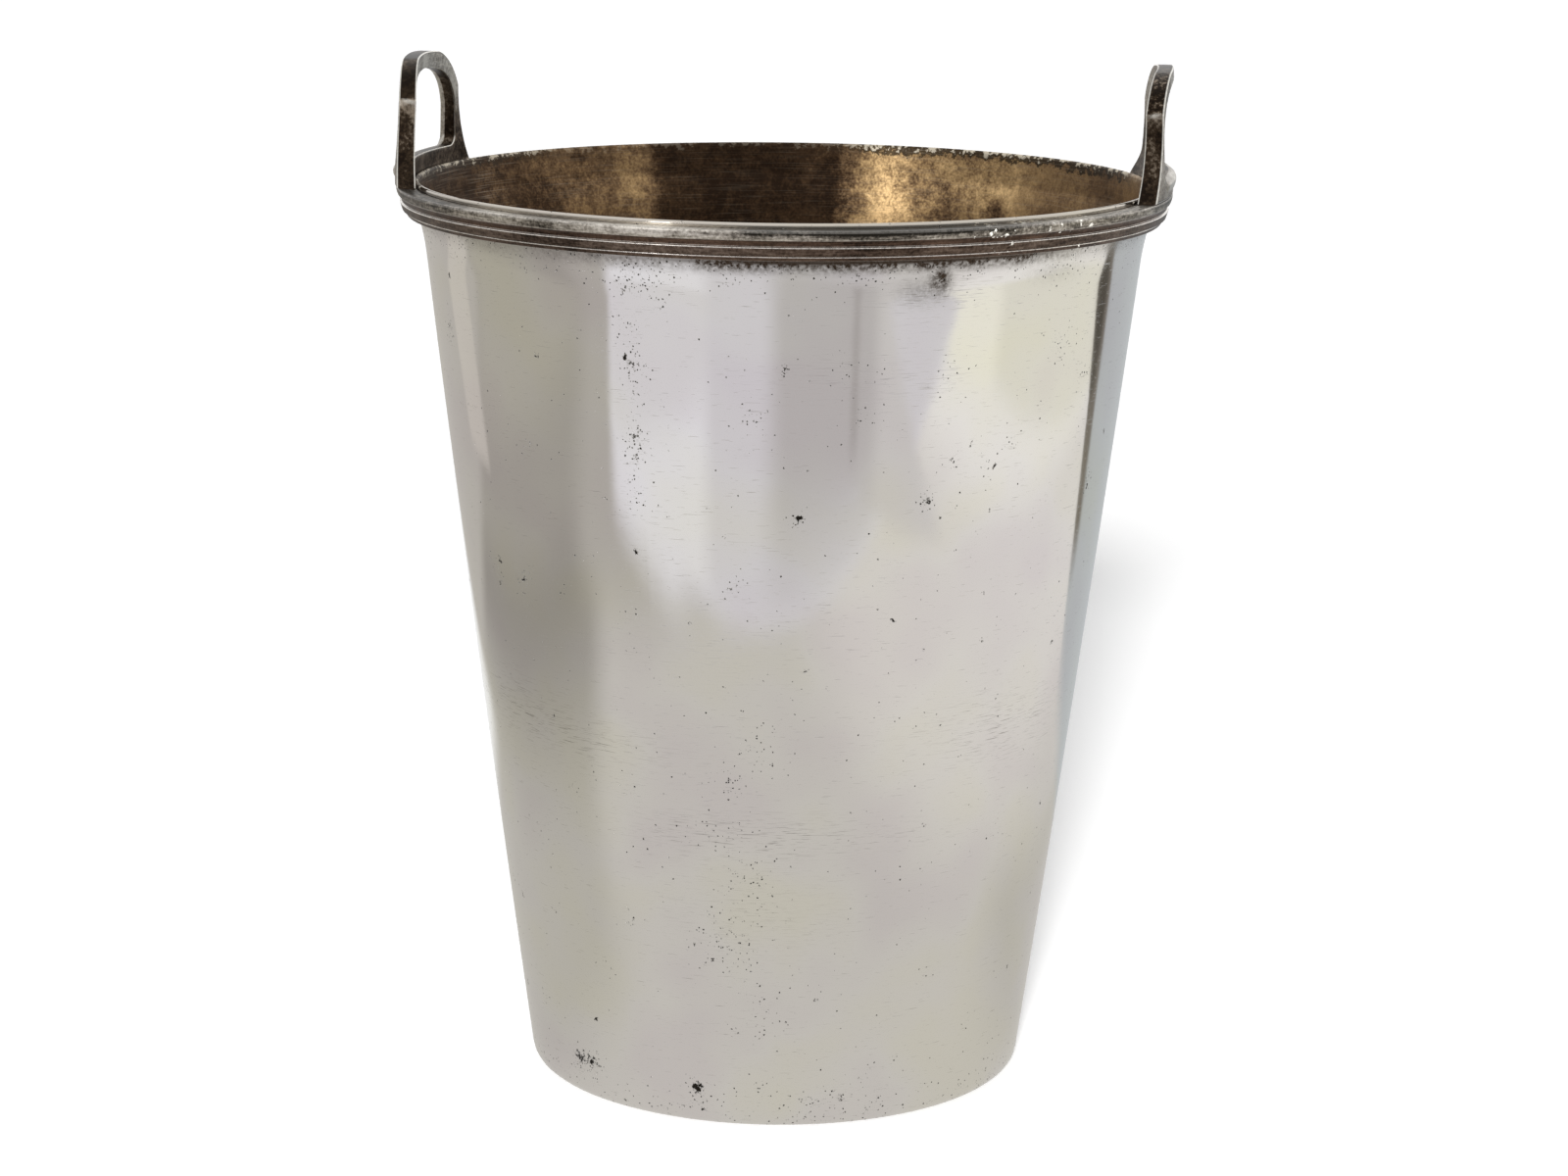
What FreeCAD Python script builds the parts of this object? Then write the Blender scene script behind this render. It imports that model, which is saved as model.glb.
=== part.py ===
import FreeCAD, Part
import Sketcher
import math
import os

# Champagne bucket of plated sheet metal: a tapered wall rolled from sheet and closed by a soldered side seam,
# a shallow base pan, a reeded moulding round the lip and two cast arch handles that stand on the moulding.
# Millimetres, +Z up. The origin is the middle of the ring that the bucket stands on, and the handles are at +X and -X.

doc = FreeCAD.newDocument("champagne_bucket")
sizes = doc.addObject("Spreadsheet::Sheet", "Sizes")

# Driving dimensions: cell name, value, meaning.
drivingSizes = [
    ("lip_height", 236.0, "table to the lip"),
    ("wall_top_radius", 95.8, "outside of the wall at the lip"),
    ("wall_thickness", 1.2, "sheet of the wall, measured level"),
    ("wall_bulge", 0.54, "how far the wall swells from a straight taper"),
    ("lip_crown", 0.45, "rounding of the lip"),
    ("collar_taper", 1.05, "how much the wall narrows behind the moulding"),
    ("collar_margin", 0.1, "straight wall below the moulding"),
    ("flare_length", 8.8, "height of the flare below the moulding"),
    ("flare_depth", 1.92, "how much the flare widens the wall"),
    ("flare_sagitta", 0.12, "hollow of the flare"),
    ("side_seam_width", 0.6, "soldered butt joint of the rolled wall"),
    ("side_seam_angle", 252.8, "where the side seam is, in degrees from +X"),
    ("base_radius", 66.3, "outside of the wall at its lower edge"),
    ("base_joint_height", 8.4, "upper edge of the base pan"),
    ("base_seam_width", 0.5, "soldered joint between pan and wall"),
    ("base_corner_radius", 7.5, "outer rounding of the pan's corner"),
    ("base_thickness", 1.2, "sheet of the pan's floor"),
    ("base_ring_width", 15.1, "ring that the bucket stands on, out to the corner's edge"),
    ("base_panel_rise", 2.4, "how far the middle of the floor is raised"),
    ("base_panel_slope", 5.0, "width of the slope up to the raised middle"),
    ("lip_stand", 1.3, "how far the lip stands above the moulding"),
    ("joint_gap", 0.2, "solder between wall and moulding"),
    ("solder_recess", 0.3, "how far that solder lies below the moulding's top"),
    ("moulding_depth", 4.5, "moulding from its inner face to the band, level"),
    ("band_round", 0.4, "rounding of the band's upper edge"),
    ("band_height", 2.7, "height of the broad band"),
    ("band_taper", 0.6, "how much the band leans in"),
    ("band_crown", 0.15, "swell of the band's face"),
    ("cove_height", 1.1, "height of the cove below the band"),
    ("cove_depth", 0.9, "depth of the cove"),
    ("cove_sagitta", 0.22, "hollow of the cove"),
    ("upper_reed_stand", 0.5, "upper reed's edge in front of the cove"),
    ("upper_reed_edge", 0.3, "bright edge of the upper reed"),
    ("upper_reed_height", 2.3, "height of the upper reed"),
    ("upper_reed_taper", 0.65, "how much the upper reed leans in"),
    ("reed_step", 0.85, "step between the reeds"),
    ("lower_reed_stand", 0.25, "lower reed's edge in front of the step"),
    ("lower_reed_edge", 0.25, "bright edge of the lower reed"),
    ("lower_reed_height", 1.35, "height of the lower reed"),
    ("lower_reed_taper", 0.6, "how much the lower reed leans in"),
    ("moulding_joint_width", 0.5, "brazed butt joint of the moulding"),
    ("moulding_joint_angle", 308.5, "where that joint is, in degrees from +X"),
    ("handle_clearance", 0.35, "wall to the inner face of a handle"),
    ("handle_thickness", 4.65, "handle from inner to outer face"),
    ("handle_height", 30.7, "lip to the crown of a handle"),
    ("handle_lean", 1.7, "how far a handle leans in over its height"),
    ("handle_foot_span", 34.1, "half the width of a handle's foot"),
    ("handle_leg_flare", 8.3, "how far the foot reaches beyond the shoulder"),
    ("handle_leg_hollow", 1.5, "hollow of the leg's end"),
    ("handle_shoulder_width", 12.6, "shoulder from leg to crown, level"),
    ("handle_shoulder_drop", 10.4, "crown to where leg and shoulder meet"),
    ("handle_shoulder_swell", 1.75, "swell of the shoulder"),
    ("handle_crown_rise", 0.7, "swell of the crown"),
    ("handle_edge_round", 0.35, "worn edge of the opening, on the inside"),
    ("opening_round", 1.7, "rounding of the opening's edge, on the outside"),
    ("handle_set_back_angle", 2.15, "degrees by which the handles sit behind the diameter"),
    ("opening_floor", 4.3, "lip to the top of the handle's base bar"),
    ("opening_corner", 2.4, "rounding of the opening's lower corners"),
    ("opening_splay", 1.0, "how far the opening widens towards its floor, each side"),
    ("opening_spring_inset", 1.6, "how far the arch springs inside the top of the leg"),
    ("opening_spring_drop", 11.5, "opening's crown to where its arch springs"),
    ("opening_haunch_width", 10.2, "haunch of the opening from spring to crown, level"),
    ("opening_haunch_drop", 1.5, "how far the haunch ends below the opening's crown"),
    ("opening_haunch_swell", 2.1, "swell of the opening's haunch"),
    ("handle_crown_thickness", 4.2, "handle above the opening"),
    ("bead_radius", 2.2, "half-round bead on the outside of the base bar"),
    ("bead_stand", 1.15, "how far the bead stands out"),
    ("bead_height", 3.2, "lip to the middle of the bead"),
    ("bead_half_angle", 14.0, "half the bead's length, in degrees"),
    ("handle_solder_thickness", 0.25, "solder bed under a handle's foot"),
    ("handle_solder_inset", 0.3, "how far the bed stays inside the ends of the foot"),
    ("overrun", 6.0, "length by which cutters run past what they cut"),
    ("match_share", 0.01, "how near an edge has to be to be found, as a share of the wall's thickness"),
]

# Sizes that follow from the ones above.
derivedSizes = [
    ("band_top", "lip_height - lip_stand"),
    ("moulding_bottom", "band_top - band_height - cove_height - upper_reed_height - lower_reed_height"),
    ("collar_height", "moulding_bottom - collar_margin"),
    ("collar_radius", "wall_top_radius - collar_taper"),
    ("flare_height", "collar_height - flare_length"),
    ("flare_radius", "collar_radius - flare_depth"),
    ("lip_edge_height", "lip_height - lip_crown"),
    ("collar_slope", "collar_taper / (lip_edge_height - collar_height)"),
    ("lip_inner_radius", "wall_top_radius - wall_thickness"),
    ("collar_inner_radius", "collar_radius - wall_thickness"),
    ("flare_inner_radius", "flare_radius - wall_thickness"),
    ("wall_foot_height", "base_joint_height + base_seam_width"),
    ("wall_foot_inner_radius", "base_radius - wall_thickness"),
    ("wall_run", "flare_height - wall_foot_height"),
    ("foot_slope", "(flare_radius - base_radius + 4 * wall_bulge) / wall_run"),
    ("pan_top_radius", "base_radius - base_seam_width * foot_slope"),
    ("pan_top_inner_radius", "pan_top_radius - wall_thickness"),
    ("pan_foot_radius", "base_radius - wall_foot_height * foot_slope"),
    ("pan_foot_inner_radius", "pan_foot_radius - wall_thickness + base_thickness * foot_slope"),
    ("pan_inner_corner_radius", "base_corner_radius - wall_thickness"),
    ("base_ring_radius", "pan_foot_radius - base_ring_width"),
    ("base_panel_radius", "base_ring_radius - base_panel_slope"),
    ("base_panel_top", "base_panel_rise + base_thickness"),
    ("moulding_inner_top", "wall_top_radius - (lip_edge_height - band_top) * collar_slope + joint_gap"),
    ("moulding_inner_bottom", "wall_top_radius - (lip_edge_height - moulding_bottom) * collar_slope + joint_gap"),
    ("band_radius", "moulding_inner_top + moulding_depth"),
    ("band_top_radius", "band_radius - band_round"),
    ("band_edge_height", "band_top - band_round"),
    ("band_foot_radius", "band_radius - band_taper"),
    ("band_foot_height", "band_top - band_height"),
    ("cove_radius", "band_foot_radius - cove_depth"),
    ("cove_foot_height", "band_foot_height - cove_height"),
    ("upper_reed_radius", "cove_radius + upper_reed_stand"),
    ("upper_reed_edge_height", "cove_foot_height - upper_reed_edge"),
    ("upper_reed_foot_radius", "upper_reed_radius - upper_reed_taper"),
    ("upper_reed_foot_height", "cove_foot_height - upper_reed_height"),
    ("step_radius", "upper_reed_foot_radius - reed_step"),
    ("lower_reed_radius", "step_radius + lower_reed_stand"),
    ("lower_reed_edge_height", "upper_reed_foot_height - lower_reed_edge"),
    ("lower_reed_foot_radius", "lower_reed_radius - lower_reed_taper"),
    ("rim_solder_top", "band_top - solder_recess"),
    ("rim_solder_top_inner", "wall_top_radius - (lip_edge_height - rim_solder_top) * collar_slope"),
    ("rim_solder_top_outer", "rim_solder_top_inner + joint_gap"),
    ("rim_solder_bottom_inner", "moulding_inner_bottom - joint_gap"),
    ("handle_foot_height", "band_top + handle_solder_thickness"),
    ("handle_slope", "handle_lean / handle_height"),
    ("handle_blank_top", "lip_height + handle_height + overrun"),
    ("handle_inner_radius", "wall_top_radius + handle_clearance"),
    ("handle_foot_inner", "handle_inner_radius + (lip_height - handle_foot_height) * handle_slope"),
    ("handle_foot_outer", "handle_foot_inner + handle_thickness"),
    ("handle_top_inner", "handle_inner_radius - (handle_blank_top - lip_height) * handle_slope"),
    ("handle_top_outer", "handle_top_inner + handle_thickness"),
    ("handle_break_span", "handle_foot_span - handle_leg_flare"),
    ("handle_crown_span", "handle_break_span - handle_shoulder_width"),
    ("handle_break_level", "lip_height + handle_height - handle_shoulder_drop"),
    ("handle_crown_level", "lip_height + handle_height - handle_crown_rise"),
    ("opening_floor_level", "lip_height + opening_floor"),
    ("opening_corner_level", "opening_floor_level + opening_corner"),
    ("opening_crown_level", "lip_height + handle_height - handle_crown_thickness"),
    ("opening_spring_span", "handle_break_span - opening_spring_inset"),
    ("opening_spring_level", "opening_crown_level - opening_spring_drop"),
    ("opening_span", "opening_spring_span + opening_splay"),
    ("opening_corner_span", "opening_span - opening_corner"),
    ("opening_haunch_span", "opening_spring_span - opening_haunch_width"),
    ("opening_haunch_level", "opening_crown_level - opening_haunch_drop"),
    ("bead_level", "lip_height + bead_height"),
    ("bead_face_radius", "handle_inner_radius + handle_thickness - bead_height * handle_slope"),
    ("bead_ring_radius", "bead_face_radius + bead_stand - bead_radius"),
    ("handle_solder_span", "handle_foot_span - handle_solder_inset"),
]

row = 0
for name, value, meaning in drivingSizes:
    row += 1
    sizes.set("A%d" % row, name)
    sizes.set("B%d" % row, str(value))
    sizes.setAlias("B%d" % row, name)
    sizes.set("C%d" % row, meaning)
for name, formula in derivedSizes:
    row += 1
    sizes.set("A%d" % row, name)
    sizes.set("B%d" % row, "=" + formula)
    sizes.setAlias("B%d" % row, name)
doc.recompute()


def number(cell):
    """Value of a cell, or zero where no cell is named."""
    return float(sizes.get(cell)) if cell else 0.0


def term(cell):
    """The same cell as it stands in an expression."""
    return "Sizes." + cell if cell else "0"


# Outlines


def sketchOn(body, role, name):
    """An empty sketch on one of the body's own origin planes."""
    sketch = body.newObject("Sketcher::SketchObject", name)
    plane = [feature for feature in body.Origin.OriginFeatures if feature.Role == role][0]
    sketch.AttachmentSupport = (plane, [""])
    sketch.MapMode = "FlatFace"
    return sketch


def bind(sketch, constraint, expression):
    """Adds a constraint whose value follows an expression."""
    index = sketch.addConstraint(constraint)
    sketch.setExpression("Constraints[%d]" % index, expression)


def arcBetween(start, end, radius, side):
    """An arc of less than half a circle that swells to the given side of the way from start to end."""
    chord = end.sub(start)
    half = chord.Length / 2
    normal = FreeCAD.Vector(chord.y, -chord.x, 0).multiply(side / chord.Length)
    centre = start.add(end).multiply(0.5).sub(normal.multiply(math.sqrt(radius * radius - half * half)))
    angles = [math.atan2(point.y - centre.y, point.x - centre.x) for point in (start, end)]
    if side < 0:
        angles.reverse()
    if angles[1] < angles[0]:
        angles[1] += 2 * math.pi
    circle = Part.Circle(centre, FreeCAD.Vector(0, 0, 1), radius)
    return Part.ArcOfCircle(circle, angles[0], angles[1])


def outline(sketch, corners, arcs):
    """A closed outline. A corner is a pair of cells, or the index of the corner that it mirrors across the vertical
    axis. arcs gives, for a side, its kind (radius or sagitta), its cell and the side it swells to: 1 right, -1 left."""
    places = []
    across = []
    for corner in corners:
        if isinstance(corner, int):
            twin = corners[corner]
            places.append(FreeCAD.Vector(-number(twin[0]), number(twin[1]), 0))
            across.append(("-" + term(twin[0]), term(twin[1])))
        else:
            places.append(FreeCAD.Vector(number(corner[0]), number(corner[1]), 0))
            across.append((term(corner[0]), term(corner[1])))
    count = len(corners)
    ends = []
    radii = []
    for side in range(count):
        start = places[side]
        end = places[(side + 1) % count]
        if side not in arcs:
            ends.append((sketch.addGeometry(Part.LineSegment(start, end)), 1, 2))
            continue
        kind, cell, swell = arcs[side]
        if kind == "radius":
            radius = number(cell)
            expression = term(cell)
        else:
            sagitta = number(cell)
            radius = (start.distanceToPoint(end) ** 2 / 4 + sagitta ** 2) / (2 * sagitta)
            x0, z0 = across[side]
            x1, z1 = across[(side + 1) % count]
            expression = "((({1} - {0})^2 + ({3} - {2})^2) / 4 + {4}^2) / (2 * {4})"
            expression = expression.format(x0, x1, z0, z1, term(cell))
        index = sketch.addGeometry(arcBetween(start, end, radius, swell))
        ends.append((index, 1, 2) if swell > 0 else (index, 2, 1))
        radii.append((index, radius, expression))
    for side in range(count):
        after = (side + 1) % count
        sketch.addConstraint(Sketcher.Constraint(
            "Coincident", ends[side][0], ends[side][2], ends[after][0], ends[after][1]))
    for side, corner in enumerate(corners):
        index, point = ends[side][0], ends[side][1]
        if isinstance(corner, int):
            twin = ends[corner]
            sketch.addConstraint(Sketcher.Constraint("Symmetric", twin[0], twin[1], index, point, -2))
            continue
        if corner[0]:
            bind(sketch, Sketcher.Constraint("DistanceX", -1, 1, index, point, places[side].x), term(corner[0]))
        else:
            sketch.addConstraint(Sketcher.Constraint("PointOnObject", index, point, -2))
        if corner[1]:
            bind(sketch, Sketcher.Constraint("DistanceY", -1, 1, index, point, places[side].y), term(corner[1]))
        else:
            sketch.addConstraint(Sketcher.Constraint("PointOnObject", index, point, -1))
    for index, radius, expression in radii:
        bind(sketch, Sketcher.Constraint("Radius", index, radius), expression)


def turned(name, corners, arcs):
    """A body turned about the vertical axis from one outline."""
    body = doc.addObject("PartDesign::Body", name)
    sketch = sketchOn(body, "XZ_Plane", name + "_section")
    outline(sketch, corners, arcs)
    turn = body.newObject("PartDesign::Revolution", name + "_turn")
    turn.Profile = sketch
    turn.ReferenceAxis = (sketch, ["V_Axis"])
    turn.Angle = 360
    sketch.Visibility = False
    doc.recompute()
    return body


def radialBox(name, width, start, length, floor, height, angle):
    """A box that lies across a radius: its width is centred on the radius at the given angle."""
    box = doc.addObject("Part::Box", name)
    box.setExpression("Length", length)
    box.setExpression("Width", width)
    box.setExpression("Height", height)
    box.Placement = FreeCAD.Placement(FreeCAD.Vector(), FreeCAD.Rotation(FreeCAD.Vector(0, 0, 1), 1))
    box.setExpression("Placement.Rotation.Angle", angle)
    box.setExpression("Placement.Base.x", "{0} * cos({2}) + {1} / 2 * sin({2})".format(start, width, angle))
    box.setExpression("Placement.Base.y", "{0} * sin({2}) - {1} / 2 * cos({2})".format(start, width, angle))
    box.setExpression("Placement.Base.z", floor)
    return box


def boolean(kind, name, base, tool):
    """Cut or Common of two objects, under its own name."""
    result = doc.addObject("Part::" + kind, name)
    result.Base = base
    result.Tool = tool
    result.Label = name
    return result


def coneFace(shape, radius):
    """The conical face whose lower rim has the given radius."""
    near = number("match_share") * number("wall_thickness")
    for face in shape.Faces:
        foot = [v.Point for v in face.Vertexes if abs(v.Point.z - shape.BoundBox.ZMin) < near]
        if foot and isinstance(face.Surface, Part.Cone) and abs(math.hypot(foot[0].x, foot[0].y) - radius) < near:
            return face
    raise ValueError("no conical face of that radius")


def openingEdges(shape, face):
    """Numbers of the edges round the opening in a face."""
    edges = []
    for wire in face.Wires:
        if not wire.isSame(face.OuterWire):
            edges += wire.Edges
    return [index for index, edge in enumerate(shape.Edges, start=1) if any(edge.isSame(other) for other in edges)]


def mirrored(name, source):
    """The mirror image of a piece across the plane between the two handles."""
    image = doc.addObject("Part::Mirroring", name)
    image.Source = source
    image.Base = FreeCAD.Vector()
    image.Normal = FreeCAD.Vector(1, 0, 0)
    return image


def circleEdges(shape, radius, height):
    """Names of the round edges of a turned shape at one radius and height."""
    found = []
    near = number("match_share") * number("wall_thickness")
    for index, edge in enumerate(shape.Edges, start=1):
        if edge.Degenerated:
            continue
        curve = edge.Curve
        if isinstance(curve, Part.Circle) and abs(curve.Radius - radius) < near and abs(curve.Center.z - height) < near:
            found.append("Edge%d" % index)
    return found


# Wall: one sheet rolled to a cone, open along the side seam, and the solder that closes it


def makeWall():
    wallCone = turned("wall_cone", [
        ("base_radius", "wall_foot_height"),
        ("flare_radius", "flare_height"),
        ("collar_radius", "collar_height"),
        ("wall_top_radius", "lip_edge_height"),
        ("lip_inner_radius", "lip_edge_height"),
        ("collar_inner_radius", "collar_height"),
        ("flare_inner_radius", "flare_height"),
        ("wall_foot_inner_radius", "wall_foot_height"),
    ], {
        0: ("sagitta", "wall_bulge", 1),
        1: ("sagitta", "flare_sagitta", -1),
        3: ("sagitta", "lip_crown", 1),
        5: ("sagitta", "flare_sagitta", 1),
        6: ("sagitta", "wall_bulge", -1),
    })
    seamBox = radialBox("side_seam_box", "Sizes.side_seam_width", "Sizes.base_radius / 2",
                        "Sizes.wall_top_radius", "0", "Sizes.lip_height + Sizes.overrun", "Sizes.side_seam_angle")
    wall = boolean("Cut", "body_wall", wallCone, seamBox)
    seam = boolean("Common", "side_seam", wallCone, seamBox)
    return [wall, seam]


# Base: a pan with a raised floor and a rounded corner, and the solder ring on its upper edge


def makeBase():
    pan = turned("base_pan", [
        (None, "base_panel_rise"),
        ("base_panel_radius", "base_panel_rise"),
        ("base_ring_radius", None),
        ("pan_foot_radius", None),
        ("pan_top_radius", "base_joint_height"),
        ("pan_top_inner_radius", "base_joint_height"),
        ("pan_foot_inner_radius", "base_thickness"),
        ("base_ring_radius", "base_thickness"),
        ("base_panel_radius", "base_panel_top"),
        (None, "base_panel_top"),
    ], {})
    for name, radiusCell, footCell, levelCell in (
            ("outer_corner", "base_corner_radius", "pan_foot_radius", None),
            ("inner_corner", "pan_inner_corner_radius", "pan_foot_inner_radius", "base_thickness")):
        base = pan.Tip
        rounding = pan.newObject("PartDesign::Fillet", name)
        rounding.Base = (base, circleEdges(base.Shape, number(footCell), number(levelCell)))
        rounding.setExpression("Radius", term(radiusCell))
        pan.Tip = rounding
        doc.recompute()
    seam = turned("base_seam", [
        ("pan_top_radius", "base_joint_height"),
        ("base_radius", "wall_foot_height"),
        ("wall_foot_inner_radius", "wall_foot_height"),
        ("pan_top_inner_radius", "base_joint_height"),
    ], {})
    return [pan, seam]


# Moulding round the lip, the brazed joint that closes it, and the solder that holds it to the wall


def makeMoulding():
    ring = turned("moulding_ring", [
        ("moulding_inner_bottom", "moulding_bottom"),
        ("lower_reed_foot_radius", "moulding_bottom"),
        ("lower_reed_radius", "lower_reed_edge_height"),
        ("step_radius", "upper_reed_foot_height"),
        ("upper_reed_foot_radius", "upper_reed_foot_height"),
        ("upper_reed_radius", "upper_reed_edge_height"),
        ("cove_radius", "cove_foot_height"),
        ("band_foot_radius", "band_foot_height"),
        ("band_radius", "band_edge_height"),
        ("band_top_radius", "band_top"),
        ("moulding_inner_top", "band_top"),
    ], {
        6: ("sagitta", "cove_sagitta", -1),
        7: ("sagitta", "band_crown", 1),
        8: ("radius", "band_round", 1),
    })
    jointBox = radialBox("moulding_joint_box", "Sizes.moulding_joint_width", "Sizes.base_radius",
                         "Sizes.wall_top_radius", "Sizes.flare_height", "Sizes.lip_height",
                         "Sizes.moulding_joint_angle")
    moulding = boolean("Cut", "rim_moulding", ring, jointBox)
    joint = boolean("Common", "rim_moulding_joint", ring, jointBox)
    solder = turned("rim_solder", [
        ("rim_solder_bottom_inner", "moulding_bottom"),
        ("moulding_inner_bottom", "moulding_bottom"),
        ("rim_solder_top_outer", "rim_solder_top"),
        ("rim_solder_top_inner", "rim_solder_top"),
    ], {})
    return [moulding, joint, solder]


# Handles: one casting, curved in plan like the rim and leaning in, and its mirror image


def makeHandles():
    slab = doc.addObject("PartDesign::Body", "handle_slab")
    face = sketchOn(slab, "YZ_Plane", "handle_face")
    outline(face, [
        ("handle_foot_span", "handle_foot_height"),
        ("handle_break_span", "handle_break_level"),
        ("handle_crown_span", "handle_crown_level"),
        2,
        1,
        0,
    ], {
        0: ("sagitta", "handle_leg_hollow", -1),
        1: ("sagitta", "handle_shoulder_swell", 1),
        2: ("sagitta", "handle_crown_rise", 1),
        3: ("sagitta", "handle_shoulder_swell", 1),
        4: ("sagitta", "handle_leg_hollow", -1),
    })
    outline(face, [
        ("opening_span", "opening_corner_level"),
        ("opening_spring_span", "opening_spring_level"),
        ("opening_haunch_span", "opening_haunch_level"),
        2,
        1,
        0,
        7,
        ("opening_corner_span", "opening_floor_level"),
    ], {
        1: ("sagitta", "opening_haunch_swell", 1),
        2: ("sagitta", "opening_haunch_drop", 1),
        3: ("sagitta", "opening_haunch_swell", 1),
        5: ("radius", "opening_corner", 1),
        7: ("radius", "opening_corner", 1),
    })
    pad = slab.newObject("PartDesign::Pad", "handle_pad")
    pad.Profile = face
    pad.Reversed = True
    pad.setExpression("Length", "Sizes.handle_foot_outer + Sizes.overrun")
    face.Visibility = False
    shell = turned("handle_shell", [
        ("handle_foot_inner", "handle_foot_height"),
        ("handle_foot_outer", "handle_foot_height"),
        ("handle_top_outer", "handle_blank_top"),
        ("handle_top_inner", "handle_blank_top"),
    ], {})
    slab.Placement = FreeCAD.Placement(FreeCAD.Vector(), FreeCAD.Rotation(FreeCAD.Vector(0, 0, 1), -1))
    slab.setExpression("Placement.Rotation.Angle", "-Sizes.handle_set_back_angle")
    arch = boolean("Common", "handle_arch", slab, shell)
    doc.recompute()
    rounded = doc.addObject("Part::Fillet", "handle_rounded")
    rounded.Base = arch
    edges = []
    for footCell, roundCell in (("handle_foot_inner", "handle_edge_round"), ("handle_foot_outer", "opening_round")):
        radius = number(roundCell)
        face = coneFace(arch.Shape, number(footCell))
        edges += [(index, radius, radius) for index in openingEdges(arch.Shape, face)]
    rounded.Edges = edges
    bead = doc.addObject("Part::Torus", "handle_bead")
    bead.setExpression("Radius1", "Sizes.bead_ring_radius")
    bead.setExpression("Radius2", "Sizes.bead_radius")
    bead.setExpression("Angle3", "2 * Sizes.bead_half_angle")
    bead.Placement = FreeCAD.Placement(FreeCAD.Vector(), FreeCAD.Rotation(FreeCAD.Vector(0, 0, 1), 1))
    bead.setExpression("Placement.Rotation.Angle", "180 - Sizes.handle_set_back_angle - Sizes.bead_half_angle")
    bead.setExpression("Placement.Base.z", "Sizes.bead_level")
    left = boolean("Fuse", "handle_left", rounded, bead)
    bed = turned("handle_solder_ring", [
        ("handle_foot_inner", "band_top"),
        ("band_top_radius", "band_top"),
        ("band_top_radius", "handle_foot_height"),
        ("handle_foot_inner", "handle_foot_height"),
    ], {})
    bedBox = radialBox("handle_solder_box", "2 * Sizes.handle_solder_span", "Sizes.base_radius / 2",
                       "Sizes.wall_top_radius", "Sizes.flare_height", "Sizes.lip_height",
                       "180 - Sizes.handle_set_back_angle")
    solder = boolean("Common", "handle_solder_left", bed, bedBox)
    return [left, mirrored("handle_right", left), solder, mirrored("handle_solder_right", solder)]


pieces = makeWall() + makeBase() + makeMoulding() + makeHandles()
doc.recompute()

# Every object is sound before anything is written

for feature in doc.Objects:
    if "Invalid" in feature.State or "Error" in feature.State:
        raise RuntimeError("%s did not build: %s" % (feature.Label, feature.State))
for piece in pieces:
    shape = piece.Shape
    if shape.isNull() or not shape.isValid() or len(shape.Solids) != 1 or shape.Volume <= 0:
        raise RuntimeError("%s is not one sound solid" % piece.Label)

os.makedirs("parts", exist_ok=True)
for piece in pieces:
    shape = Part.Shape(piece.Shape)
    shape.exportStep("parts/%s.step" % piece.Label)
    box = shape.optimalBoundingBox()
    print("%s  volume %.1f  x %.2f..%.2f  y %.2f..%.2f  z %.2f..%.2f" % (
        piece.Label, shape.Volume, box.XMin, box.XMax, box.YMin, box.YMax, box.ZMin, box.ZMax))
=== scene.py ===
import math
from functools import partial

import bmesh
import bpy
from mathutils import Matrix, Vector


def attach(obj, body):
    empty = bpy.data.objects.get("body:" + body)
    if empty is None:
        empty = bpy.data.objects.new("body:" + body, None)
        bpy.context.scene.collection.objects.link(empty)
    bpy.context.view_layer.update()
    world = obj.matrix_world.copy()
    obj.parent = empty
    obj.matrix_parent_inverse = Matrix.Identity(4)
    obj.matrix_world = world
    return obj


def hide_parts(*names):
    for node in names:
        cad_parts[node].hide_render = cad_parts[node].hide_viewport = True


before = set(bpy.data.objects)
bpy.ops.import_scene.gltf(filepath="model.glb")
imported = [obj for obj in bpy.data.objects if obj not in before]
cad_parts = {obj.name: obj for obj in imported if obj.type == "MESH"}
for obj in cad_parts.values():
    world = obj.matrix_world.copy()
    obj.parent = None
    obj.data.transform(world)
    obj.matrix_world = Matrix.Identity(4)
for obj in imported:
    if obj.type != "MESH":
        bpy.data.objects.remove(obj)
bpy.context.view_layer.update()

mm = 0.001
print("frame loaded:", len(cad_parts), "nodes")


def addNode(tree, kind, *inputs, **settings):
    # a node with its settings. inputs: its operation where it has one, values by place, and a dict of values by name;
    # a value is a socket, a node (its first output) or plain. A MapRange's are value, from min and max, to min and max
    node = tree.nodes.new(next(p + kind for p in ("ShaderNode", "GeometryNode", "") if hasattr(bpy.types, p + kind)))
    if inputs and isinstance(inputs[0], str):
        node.operation, inputs = inputs[0], inputs[1:]
    for name, value in settings.items():
        setattr(node, name, value)
    values = {}
    for place, value in enumerate(inputs):
        values.update(value if isinstance(value, dict) else {place: value})
    for key, value in values.items():
        if isinstance(value, bpy.types.Node):
            value = value.outputs[0]
        if isinstance(value, bpy.types.NodeSocket):
            tree.links.new(value, node.inputs[key])
        else:
            node.inputs[key].default_value = value
    return node


def linear(hexColour):
    # sRGB hex to the linear colour that a shader takes
    parts = [int(hexColour[i:i + 2], 16) / 255 for i in (0, 2, 4)]
    return tuple(c / 12.92 if c <= 0.04045 else ((c + 0.055) / 1.055) ** 2.4 for c in parts) + (1.0,)


# Outlines of the turned pieces, counter-clockwise in the plane of radius and height, so that faces point outwards


def corner(radius, height, worn=0.0, edge=0.12, steps=1, swell=0.0, tone=0.0, sideWearAndGlint=0.0):
    # the brightness after the height is the edge's wear with a painted highlight; edge: its rounding; steps, swell,
    # tone and the last brightness, a side's wear with a painted highlight, are the following side's
    return {"at": Vector((radius, height)), "worn": worn, "edge": edge, "steps": steps, "swell": swell, "tone": tone,
            "sideWearAndGlint": sideWearAndGlint}


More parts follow.
